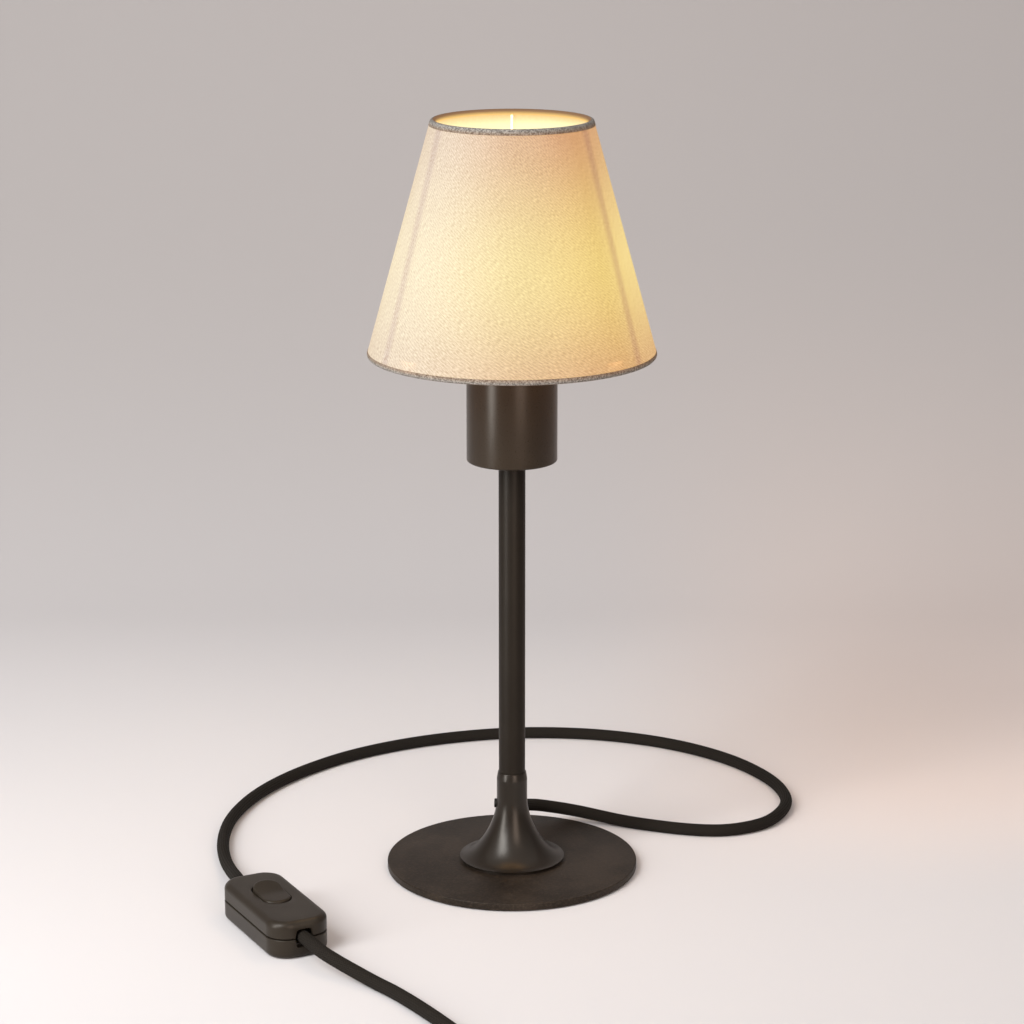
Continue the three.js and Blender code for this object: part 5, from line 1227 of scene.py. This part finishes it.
def make_plug():
    """The plug's body: a superellipse section whose width and thickness are drawn along its axis by
    monotone interpolation, |y / w|^n + |z / t|^n = 1 with the squareness as n."""
    tip, along = plug_line()
    start = tip + along * (2 * CORD_RADIUS + LEAD_LENGTH + PLUG_JOINT + PLUG_RELIEF_LENGTH)
    start[2] = PLUG_THICKNESS / 2
    across = np.array([-along[1], along[0], 0.0])
    up = np.array([0, 0, 1.0])
    places, widths, thicknesses = np.array(PLUG_SECTIONS).T
    x = np.concatenate([np.linspace(a, b, 6, endpoint=False) for a, b in zip(places[:-1], places[1:])])
    x = np.append(x, places[-1])
    share = np.interp(x, places, np.arange(len(places)))
    index = np.minimum(share.astype(int), len(places) - 2)
    t = share - index
    t = np.where((x > PLUG_EASED[0]) & (x < PLUG_EASED[1]), t * t * (3 - 2 * t), t)
    width, thickness = (sizes[index] * (1 - t) + sizes[index + 1] * t for sizes in (widths, thicknesses))
    turn = whole_turn(96)
    u, v = (np.sign(w) * np.abs(w) ** (2 / PLUG_SQUARENESS) for w in (np.cos(turn), np.sin(turn)))
    grid = (
        start
        + x[:, None, None] * along
        + (width / 2)[:, None, None] * u[None, :, None] * across
        + (thickness / 2)[:, None, None] * v[None, :, None] * up
    )
    body = woven("plug", with_ends(grid) * MM, closed=(False, True))
    pieces = [dress(body, PLUG_PLASTIC, "lamp", "plug_plastic", "plug_body"), make_plug_relief(start, along)]
    for name, node, side in (("pin_a", "plug_pin_live", -0.5), ("pin_b", "plug_pin_neutral", 0.5)):
        pieces.append(make_pin(name, node, start + across * side * PIN_SPACING, along))
    return pieces


def make_plug_relief(start, along):
    """A sleeve that tapers back from the plug, with grooves round it."""
    tip = -PLUG_RELIEF_LENGTH
    outline = [(CORD_HOLE_RADIUS, tip), (PLUG_RELIEF_TIP_RADIUS, tip, 0.15)]
    for i in range(PLUG_RELIEF_GROOVES, 0, -1):
        back = PLUG_RELIEF_GROOVE_PITCH * i
        radius = PLUG_RELIEF_RADIUS - PLUG_RELIEF_TAPER * back / PLUG_RELIEF_LENGTH
        sunk = radius - PLUG_RELIEF_GROOVE_DEPTH
        outline += [(radius - 0.05, -back - 0.6, 0.15), (sunk, -back - 0.35, 0.1)]
        outline += [(sunk, -back + 0.35, 0.1), (radius + 0.05, -back + 0.6, 0.15)]
    outline += [(PLUG_RELIEF_RADIUS, -PLUG_JOINT), (CORD_HOLE_RADIUS, -PLUG_JOINT)]
    piece = laid(turned("plug_relief", softened(outline, 3) * MM, 64), start * MM, along)
    return dress(piece, PLUG_PLASTIC, "lamp", "plug_plastic", "plug_strain_relief")


def make_pin(name, node, start, along):
    root, end = PLUG_LENGTH - PIN_ROOT, PLUG_LENGTH + PIN_REACH
    outline = softened([(0, root), (PIN_RADIUS, root), (PIN_RADIUS, end, 1.2), (0, end)], 6)
    piece = laid(turned(name, outline * MM, 40), start * MM, along)
    return dress(piece, NICKEL, "lamp", "plug_metal", node)


# Floor, backdrop and lights, in metres and watts

FLOOR_FRONT = -5.0
FLOOR_HALF_WIDTH = 6
BEND_START = 0.42
BEND_RADIUS = 0.55
WALL_HEIGHT = 3.4
# Towards the front the floor is darker, and darker still on its front left: painted shade
FLOOR_FRONT_PAINTED_SHADE = (0.53, 0.525, 0.535)
FLOOR_LAMP_GREY = (0.66, 0.645, 0.65)
FLOOR_FRONT_LEFT_PAINTED_SHADE = (0.40, 0.395, 0.40)
# A painted warm pool of the lamp's light on the floor, right of the lamp and behind it
FLOOR_REAR_RIGHT_PAINTED_GLOW = (0.77, 0.68, 0.64)
WALL_GREY = (0.47, 0.447, 0.44)
STUDIO_SIDES = (0.187, 0.175, 0.171)
STUDIO_TOP = (0.765, 0.735, 0.73)
STUDIO_TOP_FROM = 0.9


def make_stage():
    """One sheet: a level floor that bends up into a wall behind the lamp, carried along X. It is clear from
    its back, so that the lamp can be looked at from behind."""
    turn = quarter_turn(40)
    cove = points_of(BEND_START + BEND_RADIUS * np.sin(turn), BEND_RADIUS * (1 - np.cos(turn)))
    level, wall = [(FLOOR_FRONT, 0.0), (-1.0, 0.0), (0.0, 0.0)], [(BEND_START + BEND_RADIUS, WALL_HEIGHT)]
    back, up = np.vstack([level, cove, wall]).T
    across = np.linspace(-FLOOR_HALF_WIDTH, FLOOR_HALF_WIDTH, 9)
    floor = woven("floor", points_of(across, back[:, None], up[:, None]))
    ground = Finish("matt backdrop", roughness=0.95, specular_ior_level=0.1)
    x, y, z = ground.axes(ground.place())
    # Painted shade: darker towards the front, and darker still on the front left
    near = ground.mix(y.rise(-0.45, 0.10), FLOOR_FRONT_PAINTED_SHADE, FLOOR_LAMP_GREY)
    painted_shade_front_left = (1 - x.rise(-0.45, 0.0)) * (1 - y.rise(-0.45, -0.10))
    near = ground.mix(painted_shade_front_left, near, FLOOR_FRONT_LEFT_PAINTED_SHADE)
    # A painted warm pool of the lamp's light on the floor, right of the lamp and behind it
    painted_glow_rear_right = x.rise(0.02, 0.22) * y.rise(-0.05, 0.12)
    near = ground.mix(painted_glow_rear_right, near, FLOOR_REAR_RIGHT_PAINTED_GLOW)
    far = (y + z * 0.6).rise(0.12, 0.98)
    ground.set("Base Color", ground.mix(far, near, WALL_GREY))
    ground.set("Alpha", 1 - ground.node("NewGeometry", {}, output="Backfacing"))
    floor.data.materials.append(ground.material)
    if floor.data.polygons[0].normal.z < 0:
        floor.data.flip_normals()


def area_light(name, place, aim, size, power, colour):
    data = bpy.data.lights.new(name, "AREA")
    data.shape = "RECTANGLE"
    data.size, data.size_y = size
    data.energy = power
    data.color = colour
    light = in_scene(name, data)
    light.location = place
    light.visible_camera = False
    light.rotation_euler = (Vector(aim) - Vector(place)).to_track_quat("-Z", "Y").to_euler()


def make_lights():
    """A tall soft light on the left with a low strip before it, a weaker warm one on the right, and the
    lamp's own light where it leaves the shade's bottom."""
    pole_middle = (0, 0, 0.20)
    area_light("key", (-0.76, -0.84, 1.00), pole_middle, (0.60, 0.80), 18, (1.0, 1.0, 1.0))
    area_light("strip", (-0.615, -0.48, 0.23), pole_middle, (0.20, 0.44), 3.3, (1.0, 0.98, 0.95))
    area_light("under_shade", (0, 0, 0.258), (0, 0, 0), (0.10, 0.10), 0.065, (1.0, 0.45, 0.17))
    area_light("second", (0.34, -0.88, 0.37), (0, 0, 0.25), (0.40, 0.7), 3.8, (1.0, 0.80, 0.68))


def make_studio():
    """A room of light round the lamp, dim at its sides and brighter overhead."""
    studio = Finish("studio", bpy.data.worlds.new("studio"), surface="Background")
    _, _, up = studio.axes(studio.node("TexCoord", {}, output="Generated"))
    studio.set("Color", studio.mix(up.rise(0.0, STUDIO_TOP_FROM), STUDIO_SIDES, STUDIO_TOP))
    bpy.context.scene.world = studio.material
    bpy.context.scene.view_settings.view_transform = "Standard"


def dress_solids():
    """The model's own solids that stay, each with its finish."""
    finishes = (
        (FELT, "base_pad"),
        (NYLON, "cord_clamp_screw"),
        (CORD_BRAID, "cord_in_pole"),
        (HOLDER_PLASTIC, "holder_dome", "contact_block"),
        (ALUMINIUM, "bulb_cap"),
        (BRASS, "thread_shell", "centre_contact", "bulb_contact"),
        (BRASS, "switch_terminal_lamp_side", "switch_terminal_plug_side", "switch_rocking_contact"),
        (ZINC, "base_screw", "top_nipple", "lock_washer", "lock_nut"),
        (ZINC, "terminal_screw_live", "terminal_screw_neutral"),
        (ZINC, "switch_screw_lamp_side", "switch_screw_plug_side"),
    )
    for finish, *nodes in finishes:
        for node in nodes:
            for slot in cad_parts[node].material_slots:
                slot.material = finish.material


make_camera()
cord_a, line_a = make_cord_to_switch()
cord_b, line_b = make_cord_to_plug()
switch_pieces = [make_upper_shell(), make_lower_shell(), make_rocker()]
plug_pieces = make_plug()

make_disc()
make_foot()
make_relief()
make_pole()
make_cup()
make_sleeve()
make_shade_ring()
make_bulb()
cloth = make_cloth()
trims = [make_trim("tape_low", "trim_bottom", -1), make_trim("tape_high", "trim_top", 1)]
make_frame()
dress_solids()
make_stage()
make_lights()
make_studio()
